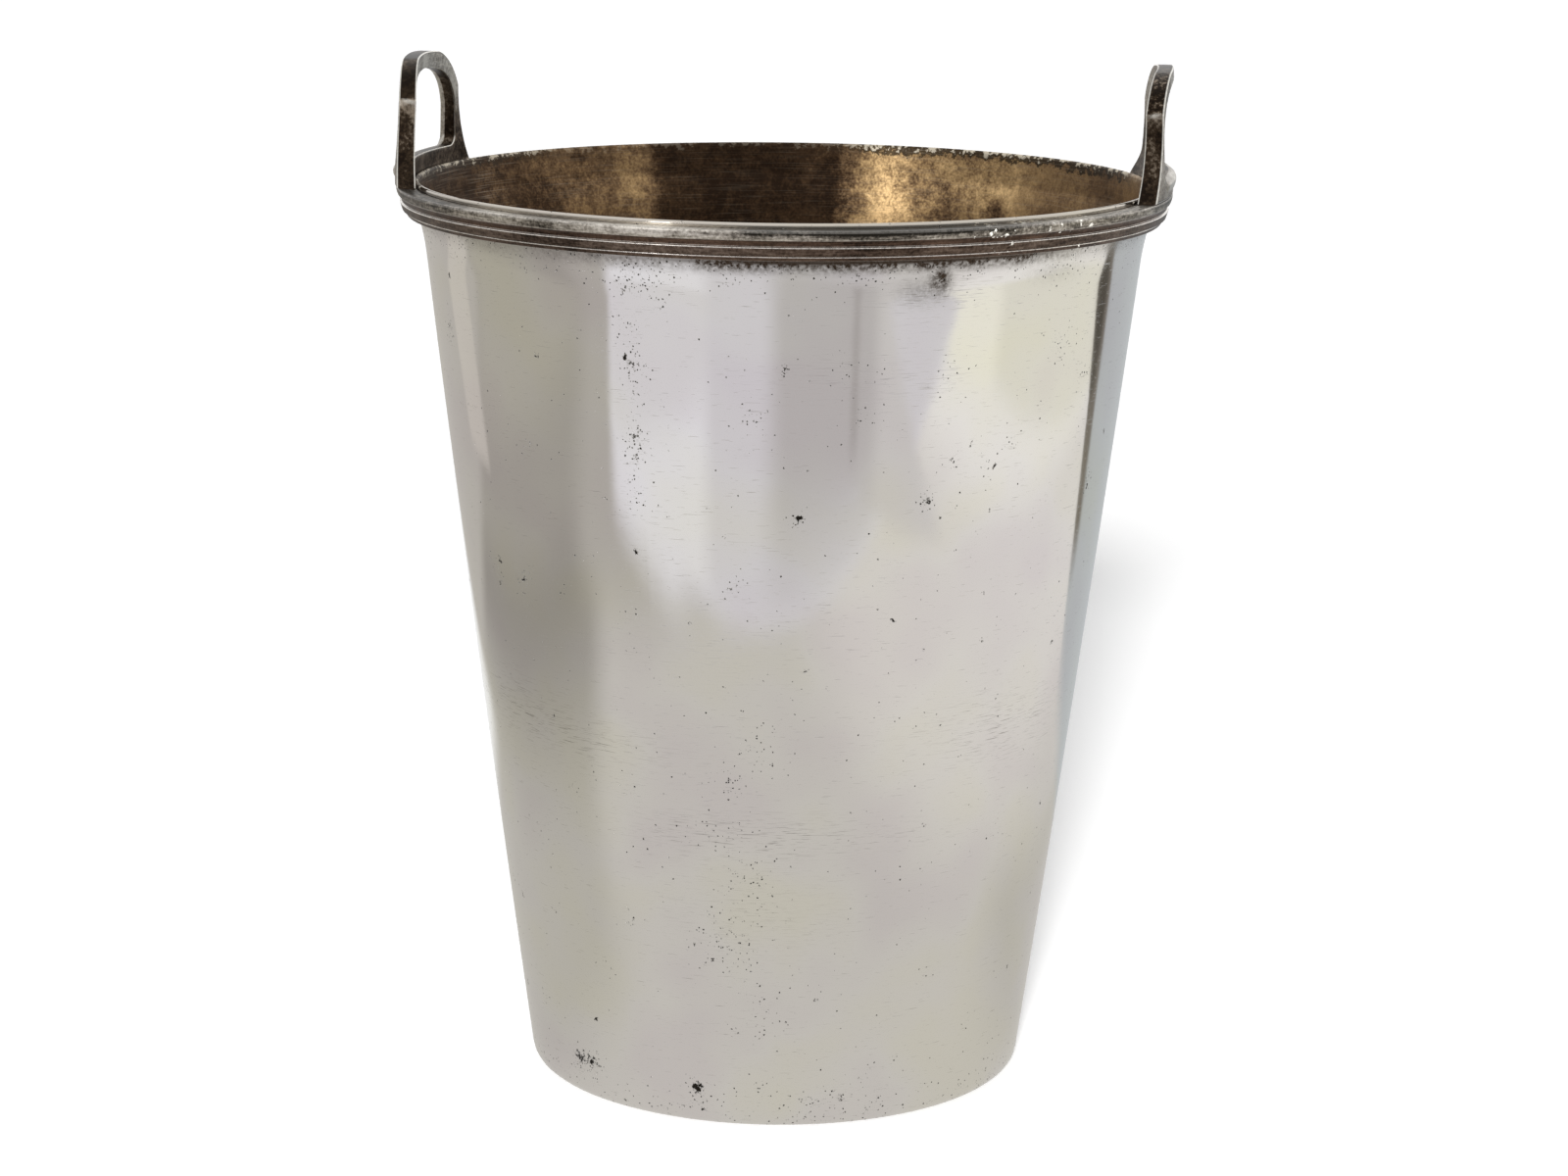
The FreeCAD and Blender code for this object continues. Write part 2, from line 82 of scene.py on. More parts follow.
def sidePoint(start, end, swell, share):
    # a point on a side that swells to the right of its direction by a shallow arc
    along = end - start
    right = Vector((along.y, -along.x)).normalized()
    return start + along * share + right * (4 * swell * share * (1 - share))


def traceOutline(corners):
    # points in mm with their wear and painted highlight, and tone; each corner becomes a small worn curve
    points = []
    for i, this in enumerate(corners):
        before, after = corners[i - 1], corners[(i + 1) % len(corners)]
        start, at, end = before["at"], this["at"], after["at"]
        lengthIn, lengthOut = (at - start).length, (end - at).length
        cut = min(this["edge"], 0.45 * lengthIn, 0.45 * lengthOut)
        if cut > 0:
            entry = sidePoint(start, at, before["swell"], 1 - cut / lengthIn)
            leave = sidePoint(at, end, this["swell"], cut / lengthOut)
            bends = 14 if cut > 4 else 5 if cut > 0.8 else 3
            for k in range(bends + 1):
                t = k / bends
                place = entry * (1 - t) ** 2 + at * (2 * t * (1 - t)) + leave * t * t
                sideWearAndGlint = max(this["worn"] * math.sin(math.pi * t), before["sideWearAndGlint"] * (1 - t), this["sideWearAndGlint"] * t)
                points.append((place.x, place.y, sideWearAndGlint, before["tone"] * (1 - t) + this["tone"] * t))
        else:
            points.append((at.x, at.y, this["worn"], this["tone"]))
        first, last = cut / lengthOut, 1 - min(after["edge"], 0.45 * lengthOut) / lengthOut
        for k in range(1, this["steps"]):
            share = first + (last - first) * k / this["steps"]
            place = sidePoint(at, end, this["swell"], share)
            points.append((place.x, place.y, this["sideWearAndGlint"], this["tone"]))
    return points


def storeFields(mesh, fields):
    for label, values in fields.items():
        mesh.attributes.new(label, "FLOAT", "POINT").data.foreach_set("value", values)


def outlineMesh(name, points):
    mesh = bpy.data.meshes.new(name)
    mesh.from_pydata([(r * mm, 0, z * mm) for r, z, worn, tone in points], [], [tuple(range(len(points)))])
    runs = [0.0]  # metres along the outline
    for before, here in zip(points, points[1:]):
        runs.append(runs[-1] + math.dist(before[:2], here[:2]) * mm)
    storeFields(mesh, {"worn": [p[2] for p in points], "tone": [p[3] for p in points], "run": runs})
    return mesh


def turningTree():
    # turns an outline about +Z: a grid of columns by outline points, end caps where the turn isn't whole,
    # and the slight unevenness of metal that was rolled and planished by hand
    tree = bpy.data.node_groups.new("turned_outline", "GeometryNodeTree")
    for label, kind in (("Outline", "Geometry"), ("Segments", "Int"), ("Start", "Float"), ("Sweep", "Float"),
                        ("Wave depth", "Float"), ("Wave size", "Float"), ("Whole turn", "Bool"), ("Metal", "Material")):
        tree.interface.new_socket(label, in_out="INPUT", socket_type="NodeSocket" + kind)
    tree.interface.new_socket("Turned", in_out="OUTPUT", socket_type="NodeSocketGeometry")
    add = partial(addNode, tree)
    given = add("NodeGroupInput").outputs
    stored = {label: add("InputNamedAttribute", {"Name": label})
              for label in ("corner", "share", "worn", "tone", "run")}
    count = add("AttributeDomainSize", given["Outline"]).outputs["Point Count"]
    columns = add("Math", "ADD", given["Segments"], 1.0)
    rows = add("Math", "ADD", count, 1.0)
    sheet = add("MeshGrid", {"Vertices X": columns, "Vertices Y": rows})
    index = add("InputIndex")
    column = add("Math", "FLOOR", add("Math", "DIVIDE", add("Math", "ADD", index, 0.5), rows))
    row = add("Math", "SUBTRACT", index, add("Math", "MULTIPLY", column, rows))
    share = add("Math", "DIVIDE", column, given["Segments"])
    flipped = add("FlipFaces", given["Outline"])
    parts = []
    for geometry, cornerField, shareField in ((sheet, add("Math", "MODULO", row, count), share),
                                              (given["Outline"], index, 0.0), (flipped, index, 1.0)):
        for label, value in (("corner", cornerField), ("share", shareField)):
            geometry = add("StoreNamedAttribute", geometry, {"Name": label, "Value": value})
        parts.append(geometry)
    caps, whole = add("JoinGeometry"), add("JoinGeometry")
    chosen = add("Switch", {"Switch": given["Whole turn"], "False": caps}, input_type="GEOMETRY")
    for part, join in ((parts[1], caps), (parts[2], caps), (parts[0], whole), (chosen, whole)):
        tree.links.new(part.outputs[0], join.inputs[0])
    place = add("SampleIndex", given["Outline"], add("InputPosition"), stored["corner"], data_type="FLOAT_VECTOR")
    radius, nothing, level = add("SeparateXYZ", place).outputs
    angle = add("Math", "MULTIPLY_ADD", stored["share"], given["Sweep"], given["Start"])
    cosine, sine = (add("Math", ratio, angle) for ratio in ("COSINE", "SINE"))

    def turnedPlace(radius):
        return add("CombineXYZ", add("Math", "MULTIPLY", radius, cosine), add("Math", "MULTIPLY", radius, sine), level)

    wave = add("TexNoise", turnedPlace(radius), {"Scale": add("Math", "DIVIDE", 1.0, given["Wave size"]),
                                               "Detail": 1.0, "Roughness": 0.4})
    fromAxis = add("MapRange", radius, 0.0, 0.04)  # the waves fade out over the last 40 mm to the axis
    depth = add("Math", "MULTIPLY", add("Math", "MULTIPLY", wave, given["Wave depth"]), fromAxis)
    uneven = add("Math", "SUBTRACT", radius, depth)
    shaped = add("SetPosition", whole, {"Position": turnedPlace(uneven)})
    for label in ("worn", "tone", "run"):
        value = add("SampleIndex", given["Outline"], stored[label], stored["corner"])
        shaped = add("StoreNamedAttribute", shaped, {"Name": label, "Value": value})
    around = add("Math", "MULTIPLY", stored["share"], given["Sweep"])
    chart = add("CombineXYZ", add("Math", "MULTIPLY", around, 0.085), stored["run"])  # metres at the mean radius
    shaped = add("StoreNamedAttribute", shaped, {"Name": "metalMap", "Value": chart},
                 data_type="FLOAT2", domain="CORNER")
    real = add("RealizeInstances", add("MergeByDistance", shaped, {"Distance": 2e-6}))
    add("NodeGroupOutput", add("SetMaterial", real, {"Material": given["Metal"]}))
    return tree


def plainMesh(piece):
    # the evaluated result as a plain mesh, with the modifiers gone
    graph = bpy.context.evaluated_depsgraph_get()
    mesh = bpy.data.meshes.new_from_object(piece.evaluated_get(graph))
    piece.modifiers.clear()
    piece.data = mesh
    mesh.name = piece.name
    return mesh


def placed(name, data):
    piece = bpy.data.objects.new(name, data)
    bpy.context.scene.collection.objects.link(piece)
    return piece


def softenShading(mesh, degrees):
    mesh.shade_smooth()
    mesh.set_sharp_from_angle(angle=math.radians(degrees))


unevenness = {"depth": 0.11, "size": 46.0}  # mm: how deep and how wide the hand-worked waves are


def turnedPiece(name, corners, metal, segments=384, start=0.0, sweep=360.0, sharp=24):
    piece = placed(name, outlineMesh(name, traceOutline(corners)))
    modifier = piece.modifiers.new("turn", "NODES")
    modifier.node_group = turning
    inputs = {"Segments": segments, "Start": math.radians(start), "Sweep": math.radians(sweep),
              "Wave depth": unevenness["depth"] * mm, "Wave size": unevenness["size"] * mm,
              "Whole turn": sweep > 359.9, "Metal": metal}
    for item in turning.interface.items_tree:
        if item.in_out == "INPUT" and item.name in inputs:
            modifier[item.identifier] = inputs[item.name]
    mesh = plainMesh(piece)
    mesh.materials.clear()
    mesh.materials.append(metal)
    mesh.polygons.foreach_set("material_index", [0] * len(mesh.polygons))
    softenShading(mesh, sharp)
    for label in ("corner", "share"):
        if label in mesh.attributes:
            mesh.attributes.remove(mesh.attributes[label])
    print(name, "turned:", len(mesh.polygons), "faces")
    return piece


def degreesApart(angle, other):
    return (angle - other + 180) % 360 - 180


def jointedPair(names, corners, metal, joint, jointSegments, sharp=24):
    # a ring that is open along its joint, and the joint's own piece
    half = math.degrees(math.asin(0.5 * joint["width"] / joint["radius"]))
    return (turnedPiece(names[0], corners, metal, 448, joint["angle"] + half - 360, 360 - 2 * half, sharp),
            turnedPiece(names[1], corners, metal, jointSegments, joint["angle"] - half, 2 * half, sharp))


# Finishes


def newMaterial(name):
    material = bpy.data.materials.new(name)
    material.use_nodes = True
    material.node_tree.nodes.clear()
    return material, partial(addNode, material.node_tree)


def dressMetal(add, colour, rough, relief, metallic):
    bump = add("Bump", {"Height": relief, "Distance": mm})
    shader = add("BsdfPrincipled", {"Base Color": colour, "Roughness": rough, "Normal": bump, "Metallic": metallic})
    add("OutputMaterial", shader)


def fillRamp(ramp, *stops):
    # stops as (place, colour); a new ramp already has its first and last one
    elements = ramp.color_ramp.elements
    for element, (position, colour) in zip(elements, (stops[0], stops[-1])):
        element.position, element.color = position, linear(colour)
    for position, colour in stops[1:-1]:
        elements.new(position).color = linear(colour)


def newMetal(name, *labels):
    # a material, what adds its nodes, the place in mm, and the fields that are stored on the points
    material, add = newMaterial(name)
    where = add("VectorMath", "SCALE", add("TexCoord").outputs["Object"], {"Scale": 1000.0})
    return material, add, where, *(add("Attribute", attribute_name=label).outputs["Fac"] for label in labels)


def chartMillimetres(add, turnDegrees, along, across):
    # the piece's own chart in mm, turned and squeezed so that a round pattern becomes a streak
    chart = add("UVMap", uv_map="metalMap")
    return add("Mapping", chart, {"Rotation": (0, 0, math.radians(turnDegrees)),
                           "Scale": (1000 / along, 1000 / across, 1)}, vector_type="POINT")


def pitMask(add, where, spacing, density, reach):
    # irregular pits: a share (density) of the cells of a loose grid has one, up to reach of a cell wide
    wobble = add("TexNoise", where, {"Scale": 1.6 / spacing, "Detail": 3.0, "Roughness": 0.7})
    shifted = add("VectorMath", "SCALE", wobble.outputs["Color"], {"Scale": 1.5 * spacing})
    moved = add("VectorMath", "ADD", where, shifted)
    cell = add("TexVoronoi", moved, {"Scale": 1 / spacing})
    chance = add("SeparateColor", cell.outputs["Color"])
    there = add("Math", "LESS_THAN", chance.outputs[0], density)
    size = add("MapRange", chance.outputs[1], 0, 1, 0.15 * reach, reach)
    inside = add("Math", "SUBTRACT", size, cell.outputs["Distance"])
    soft = add("MapRange", inside, 0.0, 0.12)
    return add("Math", "MULTIPLY", there, soft)


def streakMask(add, turnDegrees, along, across, low, high):
    # fine scratches along one direction of the chart
    streak = add("TexNoise", chartMillimetres(add, turnDegrees, along, across),
                 {"Scale": 1.0, "Detail": 2.0, "Roughness": 0.6})
    return add("MapRange", streak, low, high)


def silverPlate():
    # worn silver plate on rolled brass sheet: a soft mirror, warm where it has yellowed, with black corrosion pits,
    # hairline scratches from wiping round the bucket, and below the moulding soot-like tarnish with painted shade,
    # darkest in the crevice
    metal, add, where, marks, rubbed, stained, sootAndShadeLevel = newMetal("worn_silver_plate", "marks", "rubbed", "stained",
                                                                 "sootAndShadeLevel")
    height = add("SeparateXYZ", where).outputs[2]
    patchy, grime, clouds, gloss, peel = (
        add("TexNoise", where, {"Scale": 1 / size, "Detail": detail, "Roughness": roughness})
        for size, detail, roughness in ((9, 3, 0.5), (1.1, 4, 0.7), (38, 2, 0.55), (17, 3, 0.5), (5.5, 2, 0.5)))

    # pits: fine specks that crowd below the rim, at the foot and in the clusters, larger ones, and eaten patches
    belowRim = add("MapRange", height, 217.0, 227.0, interpolation_type="SMOOTHSTEP")
    rimDirt = add("Math", "MULTIPLY", belowRim, add("MapRange", patchy, 0.3, 0.7, 0.45, 1.3))
    aboveMoulding = add("MapRange", height, 227.5, 229.0, 0.28, 0.06)
    crowd = add("Math", "MULTIPLY_ADD", marks, 0.62, add("MapRange", patchy, 0.5, 0.72, 0.004, 0.045))
    crowd = add("Math", "MULTIPLY_ADD", rimDirt, aboveMoulding, crowd)
    crowd = add("Math", "ADD", crowd, add("MapRange", height, 11.0, 1.0, 0.0, 0.16))
    pitted = add("MapRange", add("Math", "MULTIPLY_ADD", grime, 1.9, marks), 1.86, 1.98)
    for spacing, density, reach in ((0.55, crowd, 0.5),
                                    (2.6, add("Math", "MULTIPLY_ADD", marks, 0.34, 0.012), 0.34)):
        pitted = add("Math", "MAXIMUM", pitMask(add, where, spacing, density, reach), pitted)

    # scratches: broad wiping marks where it is rubbed, and single hairs
    scoured = add("Math", "MAXIMUM", streakMask(add, 3, 7.0, 0.26, 0.61, 0.69),
                  streakMask(add, -14, 9.0, 0.28, 0.62, 0.69))
    hairs = streakMask(add, 4, 8.0, 0.17, 0.69, 0.73)
    for turn, along in ((-20, 6.0), (74, 5.0)):
        hairs = add("Math", "MAXIMUM", hairs, streakMask(add, turn, along, 0.16, 0.71, 0.75))
    scratchShare = add("Math", "MULTIPLY_ADD", rubbed, 0.62, add("MapRange", patchy, 0.45, 0.75, 0.0, 0.1))
    scratches = add("Math", "MULTIPLY", scoured, scratchShare, use_clamp=True)
    scratches = add("Math", "MULTIPLY_ADD", hairs, 0.75, scratches, use_clamp=True)

    # soot below the moulding, with painted shade that is darkest in the crevice under it, and single stains
    onWall = add("MapRange", height, 227.5, 228.5, 1.0, 0.0)
    wallSootAndShade = add("Math", "MULTIPLY", onWall, sootAndShadeLevel)
    sootAndShade = add("Math", "MULTIPLY", add("MapRange", height, 222.3, 226.9, interpolation_type="SMOOTHSTEP"), wallSootAndShade)
    for mask, least, most in ((patchy, 0.75, 1.2), (grime, 0.45, 1.35)):
        sootAndShade = add("Math", "MULTIPLY", sootAndShade, add("MapRange", mask, 0.34, 0.62, least, most), use_clamp=True)
    # painted shade, darkest right under the moulding
    creviceShade = add("Math", "MULTIPLY", add("MapRange", height, 225.1, 226.3, 0.0, 0.95), wallSootAndShade)
    smudge = add("Math", "MULTIPLY", stained, add("MapRange", grime, 0.36, 0.6, 0.5, 1.15))
    sootAndShade = add("Math", "MAXIMUM", add("Math", "MAXIMUM", sootAndShade, creviceShade), smudge, use_clamp=True)

    colour = add("ValToRGB", clouds)
    fillRamp(colour, (0.34, "DFDBDB"), (0.5, "E3E1DE"), (0.66, "E3E1D8"))
    lipWear = add("MapRange", height, 234.2, 234.9, 0.0, 0.75)
    for share, over in ((sootAndShade, "42372E"), (lipWear, "C3BAAC"), (add("Math", "MULTIPLY", scratches, 0.75), "5A524A"),
                        (pitted, "2B2723")):
        colour = add("MixRGB", share, colour, linear(over))
    rough = add("MapRange", gloss, 0.3, 0.7, 0.05, 0.095)
    relief = add("Math", "MULTIPLY", peel, 0.008)  # mm
    for mask, dulling in ((pitted, 0.42), (sootAndShade, 0.3), (scratches, 0.2)):
        rough = add("Math", "MULTIPLY_ADD", mask, dulling, rough)
    for mask, depth in ((pitted, -0.05), (scratches, -0.008)):
        relief = add("Math", "MULTIPLY_ADD", mask, depth, relief)
    dressMetal(add, colour, rough, relief, 1.0)
    return metal


def tarnishedBrass():
    # brass inside the bucket, never plated or stripped by ice water: brown and black tarnish in clouds, golden where
    # bottles have rubbed it, a painted highlight in the golden band at 75 to 83 degrees, and the fine rings that
    # polishing on the lathe left
    metal, add, where, giltAndHighlight, dimmed, smooth, combed, lipBlackAndHighlight = newMetal(
        "tarnished_spun_brass", "giltAndHighlight", "dimmed", "smooth", "combed", "lipBlackAndHighlight")
    height = add("SeparateXYZ", where).outputs[2]
    clouds, mottle, grain, ragged = (
        add("TexNoise", where, {"Scale": 1 / size, "Detail": detail, "Roughness": roughness})
        for size, detail, roughness in ((24, 3, 0.6), (2.8, 5, 0.66), (0.7, 2, 0.5), (1.5, 3, 0.65)))
    mixed = add("Math", "MULTIPLY_ADD", mottle, 0.48, add("Math", "MULTIPLY", clouds, 0.52))
    mixed = add("Math", "MULTIPLY_ADD", add("Math", "SUBTRACT", grain, 0.5), 0.2, mixed)
    contrast = add("MapRange", smooth, 0, 1, 1.2, 0.4)
    mixed = add("Math", "MULTIPLY_ADD", add("Math", "SUBTRACT", mixed, 0.5), contrast, 0.5)
    # the golden field also carries a painted highlight at 75 to 83 degrees round the wall
    for mask, lift in ((giltAndHighlight, 0.3), (dimmed, -0.16)):
        mixed = add("Math", "MULTIPLY_ADD", mask, lift, mixed)
    colour = add("ValToRGB", mixed)
    fillRamp(colour, (0.32, "2A1D13"), (0.44, "4A3726"), (0.55, "7A6146"), (0.66, "A98B62"), (0.82, "E3BF8A"))

    # the lip: a ragged black edge, and above it pale worn metal with a painted highlight along the lip's top
    edge = height
    for mask, reach in ((mottle, 1.6), (ragged, 1.4)):
        edge = add("Math", "ADD", edge, add("MapRange", mask, 0.3, 0.7, -reach, reach))
    for first, last, strength, over in ((233.4, 234.2, 0.9, "2D261E"), (235.5, 236.0, 0.8, "D9CFBB")):
        share = add("Math", "MULTIPLY", add("MapRange", edge, first, last, 0.0, strength), lipBlackAndHighlight)
        colour = add("MixRGB", share, colour, linear(over))
    rings = streakMask(add, 0, 16.0, 0.34, 0.54, 0.68)
    ringShare = add("Math", "MULTIPLY_ADD", combed, 0.3, add("MapRange", dimmed, 0, 1, 0.22, 0.06))
    colour = add("MixRGB", add("Math", "MULTIPLY", rings, ringShare), colour, linear("A89A88"))
    rough = add("MapRange", mixed, 0.4, 0.75, 0.48, 0.32)
    relief = add("Math", "MULTIPLY_ADD", mottle, 0.03, add("Math", "MULTIPLY", rings, -0.007))  # mm
    dressMetal(add, colour, rough, relief, 0.9)
    return metal


def oxidisedMoulding():
    # drawn brass moulding: its plate has gone grey and black, copper-brown in the grooves where polish never
    # reaches, and bright along the edges that hands and cloths rub, with a painted highlight on them as well
    metal, add, where, worn, tone, dulled, flecked, polished = newMetal(
        "oxidised_drawn_brass", "worn", "tone", "dulled", "flecked", "polished")
    clouds = add("TexNoise", where, {"Scale": 1 / 20, "Detail": 3.0, "Roughness": 0.6})
    flecks = add("TexNoise", where, {"Scale": 1 / 0.8, "Detail": 3.0, "Roughness": 0.7})
    streaks = add("TexNoise", chartMillimetres(add, 0, 5.0, 0.7), {"Scale": 1.0, "Detail": 3.0, "Roughness": 0.65})
    mixed = add("Math", "MULTIPLY_ADD", clouds, 0.5, add("Math", "MULTIPLY", streaks, 0.5))
    mixed = add("Math", "MULTIPLY_ADD", add("Math", "SUBTRACT", flecks, 0.5), 0.45, mixed)
    greys = add("ValToRGB", add("Math", "MULTIPLY_ADD", polished, 0.12,
                                add("Math", "MULTIPLY_ADD", dulled, -0.2, mixed)))
    fillRamp(greys, (0.35, "292620"), (0.46, "68625A"), (0.55, "A39C92"), (0.67, "DAD4CA"))
    copper = add("MixRGB", add("MapRange", mixed, 0.35, 0.7), linear("281E18"), linear("705A4C"))
    colour = add("MixRGB", tone, greys, copper)
    broken = add("MapRange", flecks, 0.34, 0.54, 0.5, 1.0)
    rubbed = add("Math", "MULTIPLY", worn, broken, use_clamp=True)
    crust = pitMask(add, where, 1.5, flecked, 0.5)  # lime and dried polish, which isn't metal
    # the pale edge colour: rubbed metal with a painted highlight
    for share, over in ((rubbed, "F3EDE6"), (crust, "F2EEE4")):
        colour = add("MixRGB", share, colour, linear(over))
    rough = add("Math", "MULTIPLY_ADD", crust, 0.4, add("MapRange", rubbed, 0, 1, 0.42, 0.18))
    relief = add("Math", "MULTIPLY", flecks, 0.03)  # mm
    for mask, depth in ((crust, 0.08), (streaks, 0.03)):
        relief = add("Math", "MULTIPLY_ADD", mask, depth, relief)
    dressMetal(add, colour, rough, relief, add("MapRange", crust, 0, 1, 0.95, 0.1))
    return metal


def oxidisedCasting():
    # cast brass handles: the plate has worn to granular brown and black on the flats that no cloth reaches, stays
    # grey and scratched on the faces, and is bright and thin along every edge, rubbed and with a painted highlight
    metal, add, where, worn, tone, grain = newMetal("oxidised_cast_brass", "worn", "tone", "grain")
    clouds = add("TexNoise", where, {"Scale": 1 / 8, "Detail": 3.0, "Roughness": 0.6})
    flecks = add("TexNoise", where, {"Scale": 1 / 0.9, "Detail": 3.0, "Roughness": 0.7})
    greys = add("ValToRGB", add("Math", "MULTIPLY_ADD", clouds, 0.45, add("Math", "MULTIPLY", flecks, 0.55)))
    fillRamp(greys, (0.34, "46413B"), (0.47, "8A847C"), (0.62, "C9C5BC"))
    dragged = add("Mapping", where, {"Rotation": (math.radians(12), 0, 0), "Scale": (0.4, 0.16, 2.4)},
                  vector_type="POINT")
    scratched = add("MapRange", add("TexNoise", dragged, {"Scale": 1.0, "Detail": 2.0}), 0.56, 0.66, 0.0, 0.4)
    greys = add("MixRGB", scratched, greys, linear("DDD7CC"))
    speckle = add("Math", "MULTIPLY", add("Math", "SUBTRACT", flecks, 0.5), add("MapRange", grain, 0, 1, 0.3, 1.1))
    brown = add("Math", "MULTIPLY_ADD", clouds, 0.6, add("Math", "MULTIPLY_ADD", tone, -0.28, 0.48))
    browns = add("ValToRGB", add("Math", "ADD", brown, speckle))
    fillRamp(browns, (0.40, "1C150F"), (0.52, "382D22"), (0.68, "8A7D6E"))
    dirt = add("MapRange", add("Math", "SUBTRACT", tone, add("Math", "SUBTRACT", clouds, 0.5)), 0.25, 0.6)
    base = add("MixRGB", dirt, greys, browns)
    broken = add("MapRange", flecks, 0.3, 0.55, 0.7, 1.0)
    rubbed = add("Math", "MULTIPLY", worn, broken, use_clamp=True)
    # the pale edge colour: rubbed metal with a painted highlight
    colour = add("MixRGB", rubbed, base, linear("EFEBE2"))
    rough = add("MapRange", rubbed, 0, 1, 0.4, 0.2)
    dressMetal(add, colour, rough, add("Math", "MULTIPLY", flecks, 0.06), 0.95)
    return metal


def softSolder():
    # lead-tin solder wiped while hot and dulled since: a matt grey skin with small lumps
    metal, add, where = newMetal("tarnished_soft_solder")
    lumps = add("TexNoise", where, {"Scale": 1 / 1.6, "Detail": 3.0})
    colour = add("MixRGB", lumps, linear("2A211B"), linear("6A5A4C"))
    dressMetal(add, colour, 0.42, add("Math", "MULTIPLY", lumps, 0.08), 0.95)
    return metal


turning = turningTree()
plate = silverPlate()
brass = tarnishedBrass()
mouldingMetal = oxidisedMoulding()
castMetal = oxidisedCasting()
darkSolder = softSolder()
print("finishes ready")

# Wall: outside and inside of the rolled cone, open along its seam

wall = {"footRadius": 66.3, "footHeight": 8.9, "flareRadius": 92.83, "flareHeight": 218.35, "collarRadius": 94.75,
        "collarHeight": 227.15, "topRadius": 95.8, "edgeHeight": 235.55, "thickness": 1.2, "bulge": 0.54,
        "flareHollow": 0.12, "lipCrown": 0.45}
seam = {"angle": 252.8, "width": 0.6, "radius": 80.0}


def wallCorners(w):
    t = w["thickness"]
    return [
        corner(w["footRadius"], w["footHeight"], edge=0.0, steps=118, swell=w["bulge"]),
        corner(w["flareRadius"], w["flareHeight"], edge=2.0, steps=8, swell=-w["flareHollow"]),
        corner(w["collarRadius"], w["collarHeight"], edge=0.6, steps=3),
        corner(w["topRadius"], w["edgeHeight"], worn=0.9, edge=0.25, steps=4, swell=w["lipCrown"]),
        corner(w["topRadius"] - t, w["edgeHeight"], worn=0.9, edge=0.25, steps=5),
        corner(w["collarRadius"] - t, w["collarHeight"], edge=0.6, steps=4, swell=w["flareHollow"]),
        corner(w["flareRadius"] - t, w["flareHeight"], edge=2.0, steps=34, swell=-w["bulge"]),
        corner(w["footRadius"] - t, w["footHeight"], edge=0.0)]


bucketWall, wallSeam = jointedPair(("bucket_wall", "wall_seam"), wallCorners(wall), plate, seam, 2)

# Marks that stand out on the real bucket: angle in degrees, height and reach in mm, strength
pitClusters = [
    (250.8, 208.9, 4, 0.55), (251.6, 200.1, 3.4, 1), (251.9, 193.3, 2.8, 0.8), (251.8, 186, 2, 0.6),
    (251.7, 181.6, 2.6, 1), (251.8, 176.7, 2.4, 0.9), (251.6, 171.2, 2.2, 0.5), (251.7, 166, 3, 0.6),
    (250, 220, 3.5, 0.5), (253.5, 220.5, 3.5, 0.6), (256.9, 220, 4, 0.5), (207.2, 201, 3, 0.9),
    (229.5, 176.7, 2.4, 0.5), (216.2, 141.6, 3, 0.8), (224.8, 140.3, 3.4, 0.9), (234.3, 140.5, 2.4, 0.5),
    (240.1, 147.3, 2.2, 0.5), (278, 163.2, 1.9, 1.3), (299.2, 166.5, 2, 1.2), (275.7, 200.3, 1.6, 1.1),
    (265.8, 159, 1.2, 1), (232.7, 87.1, 1.5, 1.2), (243.6, 53.3, 1, 1), (267.2, 146.4, 2.4, 0.6),
    (300.9, 198.8, 2.6, 0.7), (324.5, 202.9, 4, 0.5), (304, 176.4, 1.9, 0.9), (270.9, 187.6, 3.4, 0.4),
    (272.3, 104.2, 4.5, 0.6), (267.7, 94.4, 4.5, 0.5), (264.4, 81, 5, 0.5), (270, 68.2, 6, 0.5),
    (266, 52, 7.5, 0.5), (271.9, 30.7, 6, 0.4), (225, 11.3, 3.2, 1.1), (230.1, 11.3, 3, 1.1),
    (258.1, 10.3, 2.6, 1.3), (271.9, 11.5, 2.4, 0.8), (283.5, 6.5, 2.8, 1.2), (290.1, 7.4, 2.6, 1.1),
    (298.1, 5.8, 3, 0.8), (295.9, 14.4, 2.2, 0.6), (303.5, 18.4, 2, 0.5), (333.6, 4, 4, 0.5),
    (310.7, 175.5, 3, 0.4), (315.6, 178.4, 3, 0.4), (290.4, 199.6, 3, 0.5), (284.3, 200.3, 4, 0.4),
    (332.1, 194, 2, 0.6), (339.5, 164.5, 3, 0.5), (287.6, 187.6, 4, 0.4),
    (20, 120, 4, 0.6), (48, 190, 3.5, 0.7), (75, 60, 5, 0.6), (98, 140, 4, 0.7),
    (121, 206, 4.5, 0.6), (140, 30, 5, 0.6), (160, 96, 3.5, 0.7), (5, 14, 4, 0.9),
    (60, 10, 3.5, 0.8), (110, 12, 4, 0.9), (150, 9, 3, 0.9), (185, 14, 3, 0.7)]
# angle, height, half length and half height in mm, strength
rubbedBands = [(216, 106, 22, 7, 1.3), (236, 101, 26, 6, 0.9), (322, 105, 26, 8, 1.2), (266, 81, 26, 5, 1.1),
               (284, 80, 24, 4, 0.8), (270, 60, 20, 14, 0.5), (297.5, 219, 13, 6, 1.6), (284, 199, 18, 4, 0.5),
               (296, 197, 20, 4, 0.5), (262, 128, 18, 7, 0.4), (40, 100, 30, 8, 0.8), (95, 180, 24, 6, 0.7),
               (135, 90, 30, 7, 0.8)]
stains = [(298.9, 222.4, 2.6, 3.4, 1), (296.4, 219.2, 6.5, 3, 0.4), (320, 222, 9, 3, 0.2), (100, 216, 9, 5, 0.4),
          (62, 212, 7, 4, 0.35), (150, 40, 9, 6, 0.12)]
darkSpot = (55.4, 219.5, 3.4, 1.6)  # inside: angle, height, reach, strength
